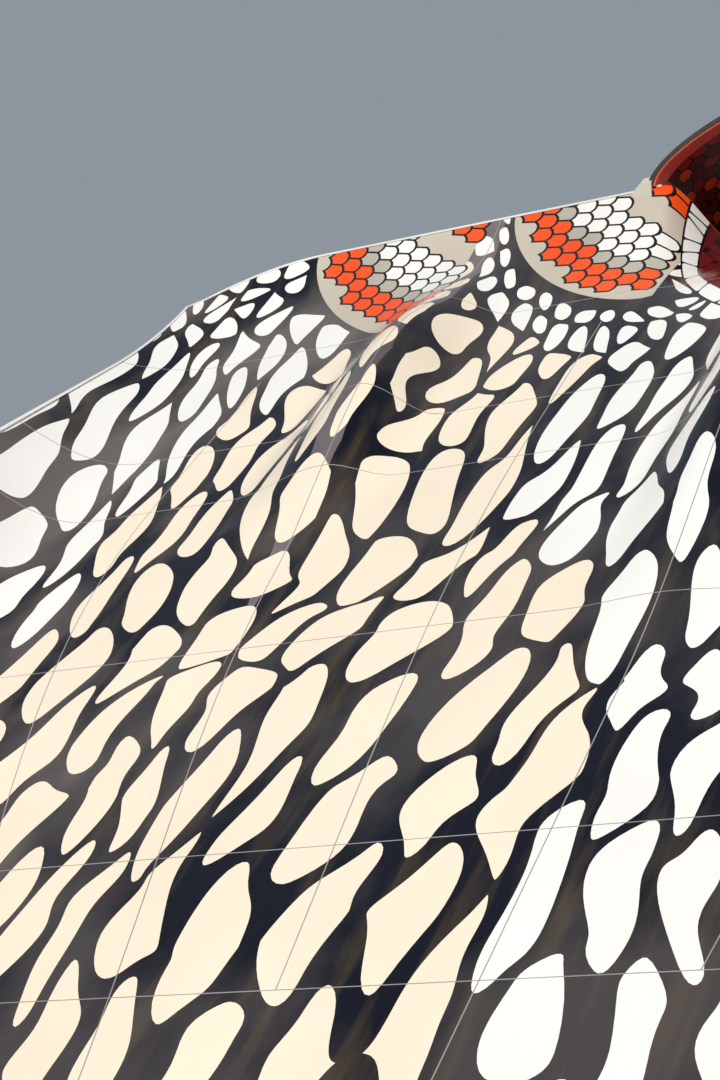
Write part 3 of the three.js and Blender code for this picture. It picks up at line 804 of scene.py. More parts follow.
def make_materials():
    wet_ground()
    gelcoat("cell_cream", (0.96, 0.85, 0.68), (0.9, 0.79, 0.63))
    gelcoat("cell_white", (0.95, 0.94, 0.91), (0.88, 0.87, 0.84))
    gelcoat("tile_orange", (0.95, 0.105, 0.012), (0.84, 0.08, 0.01), specular=0.2)
    gelcoat("tile_white", (0.93, 0.92, 0.88), (0.86, 0.85, 0.81))
    gelcoat("tile_grey", (0.52, 0.475, 0.4), (0.44, 0.4, 0.34))
    gelcoat("tile_beige", (0.62, 0.55, 0.45), (0.54, 0.48, 0.39))
    gelcoat("tile_line", (0.006, 0.006, 0.007), (0.014, 0.012, 0.012), specular=0.3)
    gelcoat("tile_dark_red", (0.2, 0.014, 0.014), (0.12, 0.008, 0.01), specular=0.25)
    gelcoat("tile_red", (0.42, 0.022, 0.016), (0.3, 0.016, 0.012), specular=0.25)
    gelcoat("lip_red", (0.86, 0.15, 0.12), (0.74, 0.11, 0.085), specular=0.4)
    gelcoat("canopy_brown", (0.075, 0.055, 0.04), (0.05, 0.038, 0.03), rough=(0.3, 0.45), specular=0.3)
    gelcoat("rim_white", (0.86, 0.84, 0.8), (0.76, 0.74, 0.7), rough=(0.25, 0.4))
    gelcoat("pale_foot", (0.72, 0.66, 0.58), (0.6, 0.55, 0.48), rough=(0.25, 0.4))
    gelcoat("seam_sealant", (0.4, 0.39, 0.37), (0.27, 0.26, 0.26), rough=(0.3, 0.5))
    # painted sheen: a purple-grey sky reflection on the rounded ridge crests, painted into this colour
    gelcoat("crest_dull", (0.2, 0.175, 0.185), (0.1, 0.085, 0.095), rough=(0.2, 0.4), specular=0.2)
    gelcoat("laminate", (0.5, 0.47, 0.4), (0.38, 0.35, 0.3), rough=(0.45, 0.7), relief=0.2)
    gelcoat("tube_outside", (0.8, 0.77, 0.7), (0.68, 0.65, 0.58), rough=(0.25, 0.4))
    gelcoat("tube_inside", (0.86, 0.85, 0.82), (0.78, 0.77, 0.74))
    galvanised()


# Mesh making; a bolt's washer and head are shares of its size
SHARP_ANGLE = math.radians(32)
MERGE = 1e-5
WASHER = dict(radius=1.15, height=0.18, sides=12)
HEAD = dict(radius=0.85, height=0.6, sides=6)


def imprint(outline, points, regions):
    """Triangles of a flat domain cut along all region outlines, with the material of each triangle."""
    outline = counter_clockwise(outline)
    lo, hi = outline.min(0), outline.max(0)
    used = [r for r in regions if (r[0].max(0) > lo).all() and (r[0].min(0) < hi).all()]
    coords, faces = [], []
    for polygon in [outline] + [counter_clockwise(polygon) for polygon, _ in used]:
        faces.append(list(range(len(coords), len(coords) + len(polygon))))
        coords += [Vector(p) for p in polygon]
    coords += [Vector(p) for p in points]
    verts, _, triangles, _, _, origins = delaunay_2d_cdt(coords, [], faces, 1, MERGE, True)
    kept, names = [], []
    for triangle, origin in zip(triangles, origins):
        if 0 not in origin:
            continue
        top = max(origin)
        name = used[top - 1][1] if top else "ground"
        if name is not None:
            kept.append(tuple(triangle))
            names.append(name)
    owned = sorted({k for triangle in kept for k in triangle})
    place_of = {k: i for i, k in enumerate(owned)}
    flat = np.array([(verts[k].x, verts[k].y) for k in owned])
    return flat, [tuple(place_of[k] for k in triangle) for triangle in kept], names


def build_mesh(name, points, faces, names, normals=None):
    """A mesh object from points and faces, with one material slot for each material name."""
    mesh = bpy.data.meshes.new(name)
    mesh.from_pydata([tuple(p) for p in points], [], [tuple(f) for f in faces])
    slots = sorted(set(names))
    for slot in slots:
        mesh.materials.append(MATERIALS[slot])
    mesh.polygons.foreach_set("material_index", [slots.index(n) for n in names])
    mesh.polygons.foreach_set("use_smooth", [True] * len(faces))
    if normals is None:
        mesh.set_sharp_from_angle(angle=SHARP_ANGLE)
    else:
        mesh.normals_split_custom_set_from_vertices([tuple(n) for n in normals])
    mesh.update()
    piece = bpy.data.objects.new(name, mesh)
    bpy.context.scene.collection.objects.link(piece)
    return piece


def settle(piece, slot, *nodes):
    """Puts a finished piece on the root body and hides the nodes it stands for; slot is not used."""
    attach(piece, "root")
    if nodes:
        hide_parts(*nodes)


class Parts:
    """Collects simple closed parts into one mesh."""

    def __init__(self):
        self.points, self.faces, self.names = [], [], []

    def loft(self, rows, name, caps=True):
        """Quads between closed rows of points, and caps that close both ends."""
        base, count = len(self.points), len(rows[0])
        names = [name] * count if isinstance(name, str) else list(name)
        for row in rows:
            self.points += [tuple(p) for p in row]
        last = len(self.points)
        for j in range(base, last - count, count):
            for i in range(count):
                k = (i + 1) % count
                self.faces.append((j + i, j + k, j + count + k, j + count + i))
                self.names.append(names[i])
        if caps:
            self.faces += [tuple(range(base + count - 1, base - 1, -1)), tuple(range(last - count, last))]
            self.names += [names[0]] * 2

    def box(self, centre, size, name, axes):
        """A box on the rows of axes."""
        signs = [[(*corner, end) for corner in rectangle(-1, -1, 1, 1)] for end in (-1, 1)]
        self.loft(centre + (signs * np.asarray(size) / 2) @ np.asarray(axes), name)

    def settle(self, name, slot, *nodes):
        """Makes the collected parts one finished piece."""
        settle(build_mesh(name, self.points, self.faces, self.names), slot, *nodes)


def ring_around(centre, axis, radius, sides):
    """Points of a regular polygon around an axis."""
    w = unit(np.asarray(axis, float))
    u = unit(np.cross(ACROSS if abs(w[0]) < 0.8 else (0, 1.0, 0), w))
    angles = np.linspace(0, 2 * np.pi, sides, endpoint=False)
    ring = np.outer(np.cos(angles), u) + np.outer(np.sin(angles), np.cross(w, u))
    return np.asarray(centre) + radius * ring


def prism(parts, start, axis, radius, height, sides):
    ring = ring_around(start, axis, radius, sides)
    parts.loft([ring, ring + unit(np.asarray(axis, float)) * height], "galvanised")


def bolt(parts, at, axis, size):
    """A hexagon head on its washer, standing on a face at a point."""
    top = at + unit(np.asarray(axis, float)) * size * WASHER["height"]
    prism(parts, at, axis, size * WASHER["radius"], size * WASHER["height"], WASHER["sides"])
    prism(parts, top, axis, size * HEAD["radius"], size * HEAD["height"], HEAD["sides"])


def open_edges(faces):
    """Directed edges used by one face only."""
    seen = {(a, b) for face in faces for a, b in zip(face, face[1:] + face[:1])}
    return [(a, b) for a, b in seen if (b, a) not in seen]


def shell(name, imprinted, front, back, normal, back_normal, edge_strips, back_name):
    """A closed shell: patterned front, plain back, and strips of quads that close it along its open edges.

    edge_strips gives, for an edge of the front, each strip's two rails and its normal.
    """
    _, triangles, names = imprinted
    count = len(front)
    points, normals, walls = [], [], []
    for a, b in open_edges(triangles):
        for (a0, b0), (a1, b1), outward in edge_strips(a, b):
            k = 2 * count + len(points)
            points += [a0, b0, b1, a1]
            normals += [outward] * 4
            walls.append((k + 1, k, k + 3, k + 2))
    faces = triangles + [(a + count, c + count, b + count) for a, b, c in triangles] + walls
    names = names + [back_name] * (len(triangles) + len(walls))
    return build_mesh(name, np.concatenate([front, back, points]), faces, names,
                      np.concatenate([normal, back_normal, normals]))


def imprinted_slab(name, outline, points, regions, front_surface, back_surface, back_name, flip=False):
    """A closed slab between two surfaces over a flat domain, its front patterned by the regions."""
    flat, triangles, names = imprint(outline, points, regions)
    if flip:
        triangles = [t[::-1] for t in triangles]
    sign = -1 if flip else 1
    front, back = front_surface(*flat.T), back_surface(*flat.T)
    normal = sign * surface_normal(front_surface, *flat.T)
    back_normal = -sign * surface_normal(back_surface, *flat.T)

    def edge_strips(a, b):
        outward = unit(np.cross(front[b] - front[a], normal[a]))
        return [((front[a], front[b]), (back[a], back[b]), outward)]

    return shell(name, (flat, triangles, names), front, back, normal, back_normal, edge_strips, back_name)


# Hood panels
def boundary(side, row, line_from, line_to):
    """The outline of one panel in (x, s)."""
    low, high = ROW_SEAMS[row], ROW_SEAMS[row + 1]
    gap = SEAM_GAP / 2
    count = 1 + round((high - low) / PANEL_STEP)
    rows = np.linspace(low + (gap if row else 0), high - (gap if high < TOP_S else 0), count)
    inner = np.stack([strip_x(line_from, rows) + gap, rows], axis=1)
    outer = np.stack([strip_x(line_to, rows) - (gap if line_to < 2 else 0), rows], axis=1)
    across = np.linspace(0, 1, 1 + round((outer[0, 0] - inner[0, 0]) / PANEL_STEP))[1:-1, None]
    bottom = inner[0] + across * (outer[0] - inner[0])
    top = inner[-1] + across[::-1] * (outer[-1] - inner[-1])
    outline = np.concatenate([inner[:1], bottom, outer, top, inner[:0:-1]])
    outline[:, 1] = row_s(outline[:, 0], outline[:, 1])
    outline[:, 0] *= side
    return outline


def grid_inside(side, row, line_from, line_to):
    """Points inside a panel, in staggered rows, closer across than along."""
    low, high = ROW_SEAMS[row], ROW_SEAMS[row + 1]
    points = []
    count = round((high - low) / GRID_STEP)
    for k in range(1, count):
        s = low + (high - low) * k / count
        x0, x1 = strip_x(line_from, s), strip_x(line_to, s)
        across = max(3, round((x1 - x0) / (GRID_STEP * GRID_ACROSS)))
        for i in range(1, across):
            x = x0 + (x1 - x0) * (i + (GRID_STAGGER if k % 2 else -GRID_STAGGER)) / across
            points.append((side * x, float(row_s(x, s))))
    return points


def hood_panel(node, side, row, line_from, line_to, regions):
    """One panel: the patterned face, its back and the flanges turned back along its edges."""
    lines = (side, row, line_from, line_to)
    imprinted = imprint(boundary(*lines), grid_inside(*lines), regions)
    flat = imprinted[0]
    front, normal = hood_point(*flat.T), hood_normal(*flat.T)
    middle = flat.mean(0)

    def edge_strips(a, b):
        """Down the flange's outside, under it, and up its inside to the back of the skin."""
        inward = left_of(flat[b] - flat[a])
        if inward @ (middle - flat[a]) < 0:
            inward = -inward
        outward = unit(np.cross(front[b] - front[a], normal[a]))
        inner = [hood_point(*(flat[k] + inward * FLANGE_THICK)) for k in (a, b)]
        foot = [front[k] - normal[k] * FLANGE_DEPTH for k in (a, b)]
        inner_foot = [p - normal[k] * FLANGE_DEPTH for p, k in zip(inner, (a, b))]
        inner_top = [p - normal[k] * SKIN for p, k in zip(inner, (a, b))]
        return [((front[a], front[b]), foot, outward), (foot, inner_foot, -normal[a]),
                (inner_foot, inner_top, -outward)]

    back = front - normal * SKIN
    skin = shell("skin_" + node, imprinted, front, back, normal, -normal, edge_strips, "laminate")
    settle(skin, "hood_gelcoat", node)


def make_hood(regions):
    for side, side_name in SIDES:
        hood_panel(f"runout_panel_{side_name}", side, 0, 0, 2, regions)
        for row in range(1, len(ROW_NAMES)):
            for line, name in enumerate(("inner", "outer")):
                hood_panel(f"hood_{ROW_NAMES[row]}_{name}_{side_name}", side, row, line, line + 1, regions)


# Trim, ribs and bolts of the hood; the trim's section is (outwards, up) from the skin's edge
TRIM = [(-0.036, 0.001), (-0.034, 0.006), (-0.006, 0.008), (0.004, 0.005), (0.008, -0.004), (0.008, -0.036),
        (0.001, -0.038)]
RIB = dict(spacing=1.15, half=0.045, height=0.04, margin=0.12, sunk=0.002, samples=64)
BOLT = dict(size=0.012, spacing=0.3, depth=0.055, clear=0.0015, end=0.1, reach=0.05)
TRIM_END = 0.1


def edge_trim(side, side_name):
    """A white cover strip over the hood's outer edge, up its side and along its top to the outlet's cheek."""
    up = [(half_width(s), row_s(HALF_WIDTH, s) if s > WIDEST_S else s) for s in np.linspace(0, TOP_S, 120)]
    across = [(x, row_s(x, TOP_S)) for x in np.linspace(HALF_WIDTH, OUTLET["half"] + TRIM_END, 60)[1:]]
    path = (np.array(up + across, float) * np.array([side, 1])).T
    points, normals = hood_point(*path), hood_normal(*path)
    out = unit(np.cross(np.gradient(points, axis=0), normals) * side)
    rows = [[p + o * a + n * b for a, b in TRIM[::side]] for p, n, o in zip(points, normals, out)]
    parts = Parts()
    parts.loft(rows, "rim_white")
    parts.settle(f"edge_trim_{side_name}", "hood_gelcoat")


def rib(parts, side, line, s):
    """A round-backed stiffening rib across the back of one panel."""
    angles = np.linspace(0, np.pi, 8)
    depth = SKIN - RIB["sunk"] + RIB["height"] * np.sin(angles)
    ends = strip_x(line, s) + RIB["margin"], strip_x(line + 1, s) - RIB["margin"]
    rows = []
    for x in np.linspace(*ends, RIB["samples"]) * side:
        section = np.full_like(angles, x), row_s(x, s) + RIB["half"] * np.cos(angles)
        rows.append(hood_point(*section) - hood_normal(*section) * depth[:, None])
    parts.loft(rows[::side], "laminate")


def back_ribs(row):
    """The ribs on the back of a row of panels."""
    low, high = ROW_SEAMS[row], ROW_SEAMS[row + 1]
    count = max(1, round((high - low) / RIB["spacing"]) - 1)
    parts = Parts()
    for k in range(1, count + 1):
        for side, _ in SIDES:
            for line in (0, 1):
                rib(parts, side, line, low + (high - low) * k / (count + 1))
    parts.settle(f"back_ribs_{ROW_NAMES[row]}", "hood_gelcoat")


def seam_bolts(name, line, across):
    """Bolts through both flanges of a seam, along a line in (x, s); across points over the seam."""
    parts = Parts()
    across = np.asarray(across)
    for p in spaced_along(line, BOLT["spacing"], BOLT["spacing"], BOLT["spacing"] / 2):
        axis = hood_point(*(p + across * BOLT["reach"])) - hood_point(*(p - across * BOLT["reach"]))
        for sign in (-1, 1):
            at = p + sign * across * (FLANGE_THICK + BOLT["clear"])
            bolt(parts, hood_point(*at) - hood_normal(*at) * BOLT["depth"], sign * axis, BOLT["size"])
    parts.settle(f"seam_bolts_{name}", "steel")


def make_hood_trim():
    ends = RUNOUT_LENGTH + BOLT["end"], TOP_S - BOLT["end"]
    for side, side_name in SIDES:
        edge_trim(side, side_name)
        seam_bolts(f"strip_{side_name}", share_line(side * STRIP_SHARE, *ends), (1, 0))
    seam_bolts("centre", share_line(0, *ends), (1, 0))
    for row in range(1, len(ROW_NAMES)):
        back_ribs(row)
        seam_bolts(ROW_NAMES[row], row_line(ROW_SEAMS[row])[3:-3], (0, 1))


# Outlet: trough, canopy and bulkhead
ARCH_LENGTH = 5.3
LIP_END = 0.11
LINING = dict(thick=0.004, gap=0.0005, inset=0.01, low=0.8)
SLAB_STEP = 0.1
LIP = dict(inset=0.03, half=0.14)
TILE_MIX = dict(cheek_from=1.5, cheek=0.35, low=0.3, high=0.06, red=0.5)
EDGE_ROUND = 0.02
STRIP = [(-0.03, 0.0), (-0.022, 0.014), (0.0, 0.02), (0.022, 0.014), (0.03, 0.0)]
STRIP_END = 0.98
FOOT = dict(width=0.15, height=0.12, inside=0.06, sunk=0.01, rim=0.006, shoulder=0.05, top=0.03, round=0.016,
            span=(-0.1, -0.004))
TUBE_RING = 0.09
SKIRT_BOLTS = dict(count=33, out=0.045, span=(0.02, 0.98))


def on_bulkhead(x, v, depth=0.0):
    """Points on the bulkhead's face from x and the height v over the tubes' axis, or behind it by a depth."""
    x, v, depth = together(x, v, depth)
    c, q = math.cos(TUBE["slope"]), math.sin(TUBE["slope"])
    return np.stack([x, BULKHEAD["y"] - v * q + depth * c, BULKHEAD["z"] + v * c + depth * q], axis=-1)


TUBE_AXIS = on_bulkhead(0, 0, 1) - on_bulkhead(0, 0, 0)


def trough_v(x):
    up = np.clip((np.abs(x) - OUTLET["floor_half"]) / (OUTLET["half"] - OUTLET["floor_half"]), 0, 1)
    return -TROUGH["drop"] + TROUGH["rise"] * up**2


def trough_point(x, t, depth=0.0):
    """Points of the trough from its front edge at t 0 to the bulkhead at t 1."""
    s = TOP_S + SEAM_GAP
    front = place(x, s, skin_height(x, s) - depth)
    back = on_bulkhead(x, trough_v(x) - depth, -FIT)
    return front + (back - front) * np.asarray(t, float)[..., None]


def arch_point(share, half, rise):
    """The canopy's superellipse, from the right foot over to the left one."""
    c, q = np.cos(np.pi * share), np.sin(np.pi * share)
    power = 2 / ARCH_POWER
    return half * np.sign(c) * np.abs(c) ** power, rise * np.abs(q) ** power


def canopy_point(share, t, out):
    """Points of the canopy from its left foot over to the right one, out from its inner face."""
    share, t, out = together(share, t, out)
    foot = trough_point(np.full(share.shape, OUTLET["half"]), t)
    rise = CANOPY["rise"] + (CANOPY["back_rise"] - CANOPY["rise"]) * t + out
    across, up = arch_point(1 - share, OUTLET["half"] + out, rise)
    lean = CANOPY["lean"] + (math.tan(TUBE["slope"]) - CANOPY["lean"]) * t
    return np.stack([across, foot[..., 1] - lean * up, foot[..., 2] + FIT + up], axis=-1)


def make_trough():
    rng = random.Random(3)
    edge, length = OUTLET["half"] + CANOPY["thick"], TROUGH["length"]

    def material_at(u, v):
        on_cheek = abs(v - edge) > TILE_MIX["cheek_from"]
        return "tile_orange" if on_cheek and rng.random() < TILE_MIX["cheek"] else "tile_dark_red"

    def surface(depth):
        return lambda x, y: trough_point(x, y / length, depth)

    regions = [(rectangle(-3, -1, 3, 3), "tile_dark_red")]
    regions += tile_rectangle((-edge, 0), 2 * edge, length, material_at)
    for side, _ in SIDES:
        lip = side * (OUTLET["half"] - LIP["inset"])
        regions.append((rectangle(lip - LIP["half"], -1, lip + LIP["half"], 3), "rim_white"))
    for side, side_name in SIDES:
        x0, x1 = sorted((side * SEAM_GAP / 2, side * edge))
        box = (x0, 0, x1, length, SLAB_STEP)
        piece = imprinted_slab(f"trough_{side_name}", rectangle(*box), inner_grid(*box), regions,
                               surface(0.0), surface(TROUGH["thick"]), "laminate")
        settle(piece, "outlet_gelcoat", f"outlet_trough_{side_name}")


def canopy_section():
    """The shell's closed section as (t, out), from the outer back over the front edge to the inner back."""
    front, thick = -CANOPY["overhang"], CANOPY["thick"]
    along = EDGE_ROUND / TROUGH["length"]
    turn = [(math.sin(a), math.cos(a)) for a in np.linspace(0, math.pi / 2, 5)]
    outer = [(t, thick) for t in (1.0, 0.66, 0.33, 0.0)]
    outer += [(front + along * (1 - q), thick - EDGE_ROUND * (1 - c)) for q, c in turn]
    lip = [(front + along * (1 - c), EDGE_ROUND * (1 - q)) for q, c in turn]
    inner = [(t, 0.0) for t in (LIP_END, 0.5, 1.0)]
    names = ["canopy_brown"] * len(outer) + ["lip_red"] * len(lip) + ["tile_dark_red"] * 2 + ["laminate"]
    return outer + lip + inner, names


def make_canopy():
    section, names = canopy_section()
    rows = [[canopy_point(share, t, out) for t, out in section] for share in np.linspace(0, 1, 97)]
    parts = Parts()
    parts.loft(rows, names)
    parts.settle("canopy_shell", "canopy_gelcoat", "outlet_canopy")


def make_lining():
    """The tiled face inside the canopy, from its red lip back to the bulkhead."""
    rng = random.Random(9)
    length = TROUGH["length"] * (1 - LIP_END) - LINING["inset"]

    def material_at(u, v):
        orange = TILE_MIX["low" if min(v, ARCH_LENGTH - v) < LINING["low"] else "high"]
        if rng.random() < orange:
            return "tile_orange"
        return "tile_red" if rng.random() < TILE_MIX["red"] else "tile_dark_red"

    def surface(out):
        return lambda x, y: canopy_point(x / ARCH_LENGTH, LIP_END + y / TROUGH["length"], out)

    box = (LINING["inset"], 0.0, ARCH_LENGTH - LINING["inset"], length)
    regions = [(rectangle(-1, -1, ARCH_LENGTH + 1, length + 1), "tile_dark_red")]
    regions += tile_rectangle((0, 0), ARCH_LENGTH, length, material_at)
    piece = imprinted_slab("canopy_lining", rectangle(*box, 0.08), inner_grid(*box, SLAB_STEP), regions,
                           surface(-LINING["thick"]), surface(-LINING["gap"]), "tile_dark_red", flip=True)
    settle(piece, "inner_gelcoat")


def make_joints():
    """Pale cover strips on the joint of canopy and trough, and moulded feet outside it on the rim."""
    outer = OUTLET["half"] + CANOPY["thick"]
    along, up = np.array(STRIP).T
    foot = [(outer + FOOT["width"], -FOOT["sunk"]), (outer + FOOT["width"], FOOT["rim"]),
            (outer + FOOT["shoulder"], FOOT["height"] - FOOT["round"]), (outer + FOOT["top"], FOOT["height"]),
            (outer - FOOT["inside"], FOOT["height"]), (outer - FOOT["inside"], -FOOT["sunk"])]
    for side, side_name in SIDES:
        parts = Parts()
        x = side * (OUTLET["half"] - LIP["inset"]) + along
        along_joint = np.linspace(0.0, STRIP_END, 12)
        rows = [trough_point(x, np.full(len(x), t)) + np.outer(up, UP) for t in along_joint]
        parts.loft(rows, "rim_white")
        rows = []
        for ahead in np.linspace(*FOOT["span"], 3):
            _, y, z = hood_point(outer, TOP_S + ahead)
            rows.append([(side * px, y, z + pz) for px, pz in foot])
        parts.loft(rows[::side], "pale_foot")
        parts.settle(f"outlet_joint_{side_name}", "outlet_gelcoat")


def bulkhead_outline():
    skirt = BULKHEAD["skirt"]
    half, low = OUTLET["half"] + skirt, -TROUGH["drop"] - skirt
    foot = float(trough_v(OUTLET["half"]))
    across, up = arch_point(np.linspace(0, 1, 61), half, CANOPY["back_rise"] + skirt)
    start = [(OUTLET["floor_half"] + skirt, low), (half, foot - skirt)]
    end = [(-half, foot - skirt), (-OUTLET["floor_half"] - skirt, low)]
    return np.array(start + list(zip(across, foot + up)) + end)


def circle(x, radius, sides=72):
    angles = np.linspace(0, 2 * np.pi, sides, endpoint=False)
    return np.stack([x + radius * np.cos(angles), radius * np.sin(angles)], axis=1)


def make_bulkhead():
    """The tiled end wall, with a red ring round each tube's hole and bolts along its skirt."""
    outline = bulkhead_outline()
    lo, hi = outline.min(0), outline.max(0)
    regions = [(rectangle(*(lo - 1), *(hi + 1)), "tile_dark_red")] + tile_rectangle(lo, *(hi - lo), dark_red)
    for radius, name in ((TUBE["radius"] + TUBE_RING, "lip_red"), (TUBE["radius"], None)):
        regions += [(circle(side * TUBE["x"], radius), name) for side, _ in SIDES]

    def surface(depth):
        return lambda x, v: on_bulkhead(x, v, depth)

    piece = imprinted_slab("bulkhead", split_edges(outline, 0.3), [], regions, surface(0.0),
                           surface(BULKHEAD["thick"]), "laminate")
    settle(piece, "inner_gelcoat", "outlet_bulkhead")
    parts = Parts()
    for share in np.linspace(*SKIRT_BOLTS["span"], SKIRT_BOLTS["count"]):
        out = SKIRT_BOLTS["out"]
        across, up = arch_point(share, OUTLET["half"] + out, CANOPY["back_rise"] + out)
        at = on_bulkhead(across, float(trough_v(OUTLET["half"])) + up, BULKHEAD["thick"])
        bolt(parts, at, TUBE_AXIS, BOLT["size"])
    parts.settle("bulkhead_bolts", "steel")


# Tubes
TUBE_SIDES = 72
FLANGE_BOLTS = dict(count=24, size=0.01, out=0.008)
SIDE_FLANGE = dict(reach=0.062, thick=0.03, sunk=0.004)
SIDE_BOLTS = dict(size=0.009, first=0.15, spacing=0.18, spare=0.1, out=0.008)
BAND = dict(half=0.03, top=0.018, rise=0.012)


def tube_profile():
    """Closed profile of a section as (radius, distance along), and the materials of its faces."""
    length, thick, flange = TUBE["section"], TUBE_FLANGE["thick"], TUBE_FLANGE["radius"]
    outside = TUBE["radius"] + TUBE["wall"]
    edge, fillet, hollow = 0.005, 0.025, (0.006, 0.007)
    end = [(TUBE["radius"], 0.0), (flange - edge, 0.0), (flange, edge), (flange, thick - edge),
           (flange - edge, thick), (outside + fillet, thick), (outside + hollow[0], thick + hollow[1]),
           (outside, thick + fillet)]
    band = [(outside, length / 2 - BAND["half"]), (outside + BAND["rise"], length / 2 - BAND["top"]),
            (outside + BAND["rise"], length / 2 + BAND["top"]), (outside, length / 2 + BAND["half"])]
    profile = end + band + [(radius, length - y) for radius, y in reversed(end)]
    return profile, ["tube_outside"] * (len(profile) - 1) + ["tube_inside"]


def tube(side, side_name, number):
    """A tube section with its end flanges, side flanges and bolts."""
    start = BULKHEAD["thick"] + FIT + (number - 1) * (TUBE["section"] + FIT)
    outside = TUBE["radius"] + TUBE["wall"]
    centre_x = side * TUBE["x"]
    profile, names = tube_profile()
    parts = Parts()

    def around(angle, radius, along):
        return on_bulkhead(centre_x + radius * math.cos(angle), radius * math.sin(angle), start + along)

    turn = np.linspace(2 * np.pi, 0, TUBE_SIDES + 1)
    parts.loft([[around(angle, r, y) for r, y in profile] for angle in turn], names, caps=False)
    up = np.cross(ACROSS, TUBE_AXIS)
    reach, thick, sunk = SIDE_FLANGE["reach"], SIDE_FLANGE["thick"], SIDE_FLANGE["sunk"]
    size = (reach, thick, TUBE["section"] - 2 * TUBE_FLANGE["thick"] - sunk)
    for hand in (-1, 1):
        x = centre_x + hand * (outside + reach / 2 - sunk)
        centre = on_bulkhead(x, 0, start + TUBE["section"] / 2)
        parts.box(centre, size, "tube_outside", [ACROSS, up, TUBE_AXIS])
        for y in np.arange(SIDE_BOLTS["first"], TUBE["section"] - SIDE_BOLTS["spare"], SIDE_BOLTS["spacing"]):
            for way in (-1, 1):
                at = on_bulkhead(x + hand * SIDE_BOLTS["out"], way * thick / 2, start + y)
                bolt(parts, at, way * up, SIDE_BOLTS["size"])
    circle_radius = (outside + TUBE_FLANGE["radius"]) / 2 + FLANGE_BOLTS["out"]
    for k in range(FLANGE_BOLTS["count"]):
        angle = 2 * np.pi * (k + 0.5) / FLANGE_BOLTS["count"]
        for way, along in ((1, TUBE_FLANGE["thick"]), (-1, TUBE["section"] - TUBE_FLANGE["thick"])):
            bolt(parts, around(angle, circle_radius, along), way * TUBE_AXIS, FLANGE_BOLTS["size"])
    parts.settle(f"tube_section_{number}_{side_name}", "tube_gelcoat", f"tube_{number}_{side_name}")


# Steelwork
BEAM_PLATE = 0.016
WEB_HALF = 0.007
STIFFENER = dict(apart=0.08, half=0.078, thick=0.012)
CAP = dict(thick=0.02, margin=0.03, arm_length=0.3)
COLUMN_SIDES = 40
ARM = dict(rise=1.1, radius=0.08, sides=28)
PLATE = dict(size=0.62, thick=0.03, bevel=0.006)
ANCHOR = dict(inset=0.075, size=0.024, stud=0.012, stud_from=0.015, stud_height=0.045)
GUSSET = dict(height=0.2, thick=0.014, reach=0.14, sunk=0.004, tip=0.03, top=0.026, plate_share=1.3)
BEAM_END_SHARE = 0.9
FLANGE_PLATE = 0.03
WEB_INSET = 0.012


def hood_beam(name, xs_at, s, stiffeners):
    """An I-beam under the hood, with stiffening plates at its columns; xs_at gives x from a share and s."""
    w, top, low = BEAM["width"] / 2, BEAM_TOP, BEAM_BOTTOM
    right = [(w, top), (w, top + BEAM_PLATE), (WEB_HALF, top + BEAM_PLATE), (WEB_HALF, low - BEAM_PLATE),
             (w, low - BEAM_PLATE), (w, low)]
    ds, depth = np.array(right + [(-a, b) for a, b in reversed(right)]).T
    parts = Parts()
    parts.loft([under_form(xs_at(k, s + ds), s + ds, depth) for k in np.linspace(-1, 1, 81)], "galvanised")
    half = STIFFENER["half"]
    corner_s, corner_depth = rectangle(-half, top + BEAM_PLATE, half, low - BEAM_PLATE)[[0, 3, 2, 1]].T
    for x in stiffeners:
        for edge in (-STIFFENER["apart"], STIFFENER["apart"]):
            faces = [np.full(4, x + edge + way * STIFFENER["thick"] / 2) for way in (-1, 1)]
            parts.loft([under_form(face, s + corner_s, corner_depth) for face in faces], "galvanised")
    parts.settle(f"steel_beam_{name}", "steel", f"beam_{name}")


def heading(angle):
    """The level unit vector at an angle."""
    return np.array([math.cos(angle), math.sin(angle), 0])


def base_plate(parts, x, y):
    """A base plate with a bevelled edge."""
    half, thick, bevel = PLATE["size"] / 2, PLATE["thick"], PLATE["bevel"]
    rows = []
    for z, reach in ((0, half), (thick - bevel, half), (thick, half - bevel)):
        rows.append([(*corner, z) for corner in rectangle(x - reach, y - reach, x + reach, y + reach)])
    parts.loft(rows, "galvanised")


def gusset(parts, base, out, radius):
    """An upright plate between a column and its base plate, towards out."""
    side = np.array([-out[1], out[0], 0]) * GUSSET["thick"] / 2
    near = radius - GUSSET["sunk"]
    far = min(radius + GUSSET["reach"], PLATE["size"] / 2 * GUSSET["plate_share"])
    tip, high = GUSSET["tip"], GUSSET["height"]
    profile = [(near, 0), (far, 0), (far, tip), (near + GUSSET["sunk"] + GUSSET["top"], high), (near, high)]
    shape = [base + out * reach + UP * z for reach, z in profile]
    parts.loft([[p - side for p in shape], [p + side for p in shape]], "galvanised")


def anchor(parts, at):
    """A nut on its washer on the base plate, with the end of its stud."""
    bolt(parts, at, UP, ANCHOR["size"])
    prism(parts, at + UP * ANCHOR["stud_from"], UP, ANCHOR["stud"], ANCHOR["stud_height"], 12)


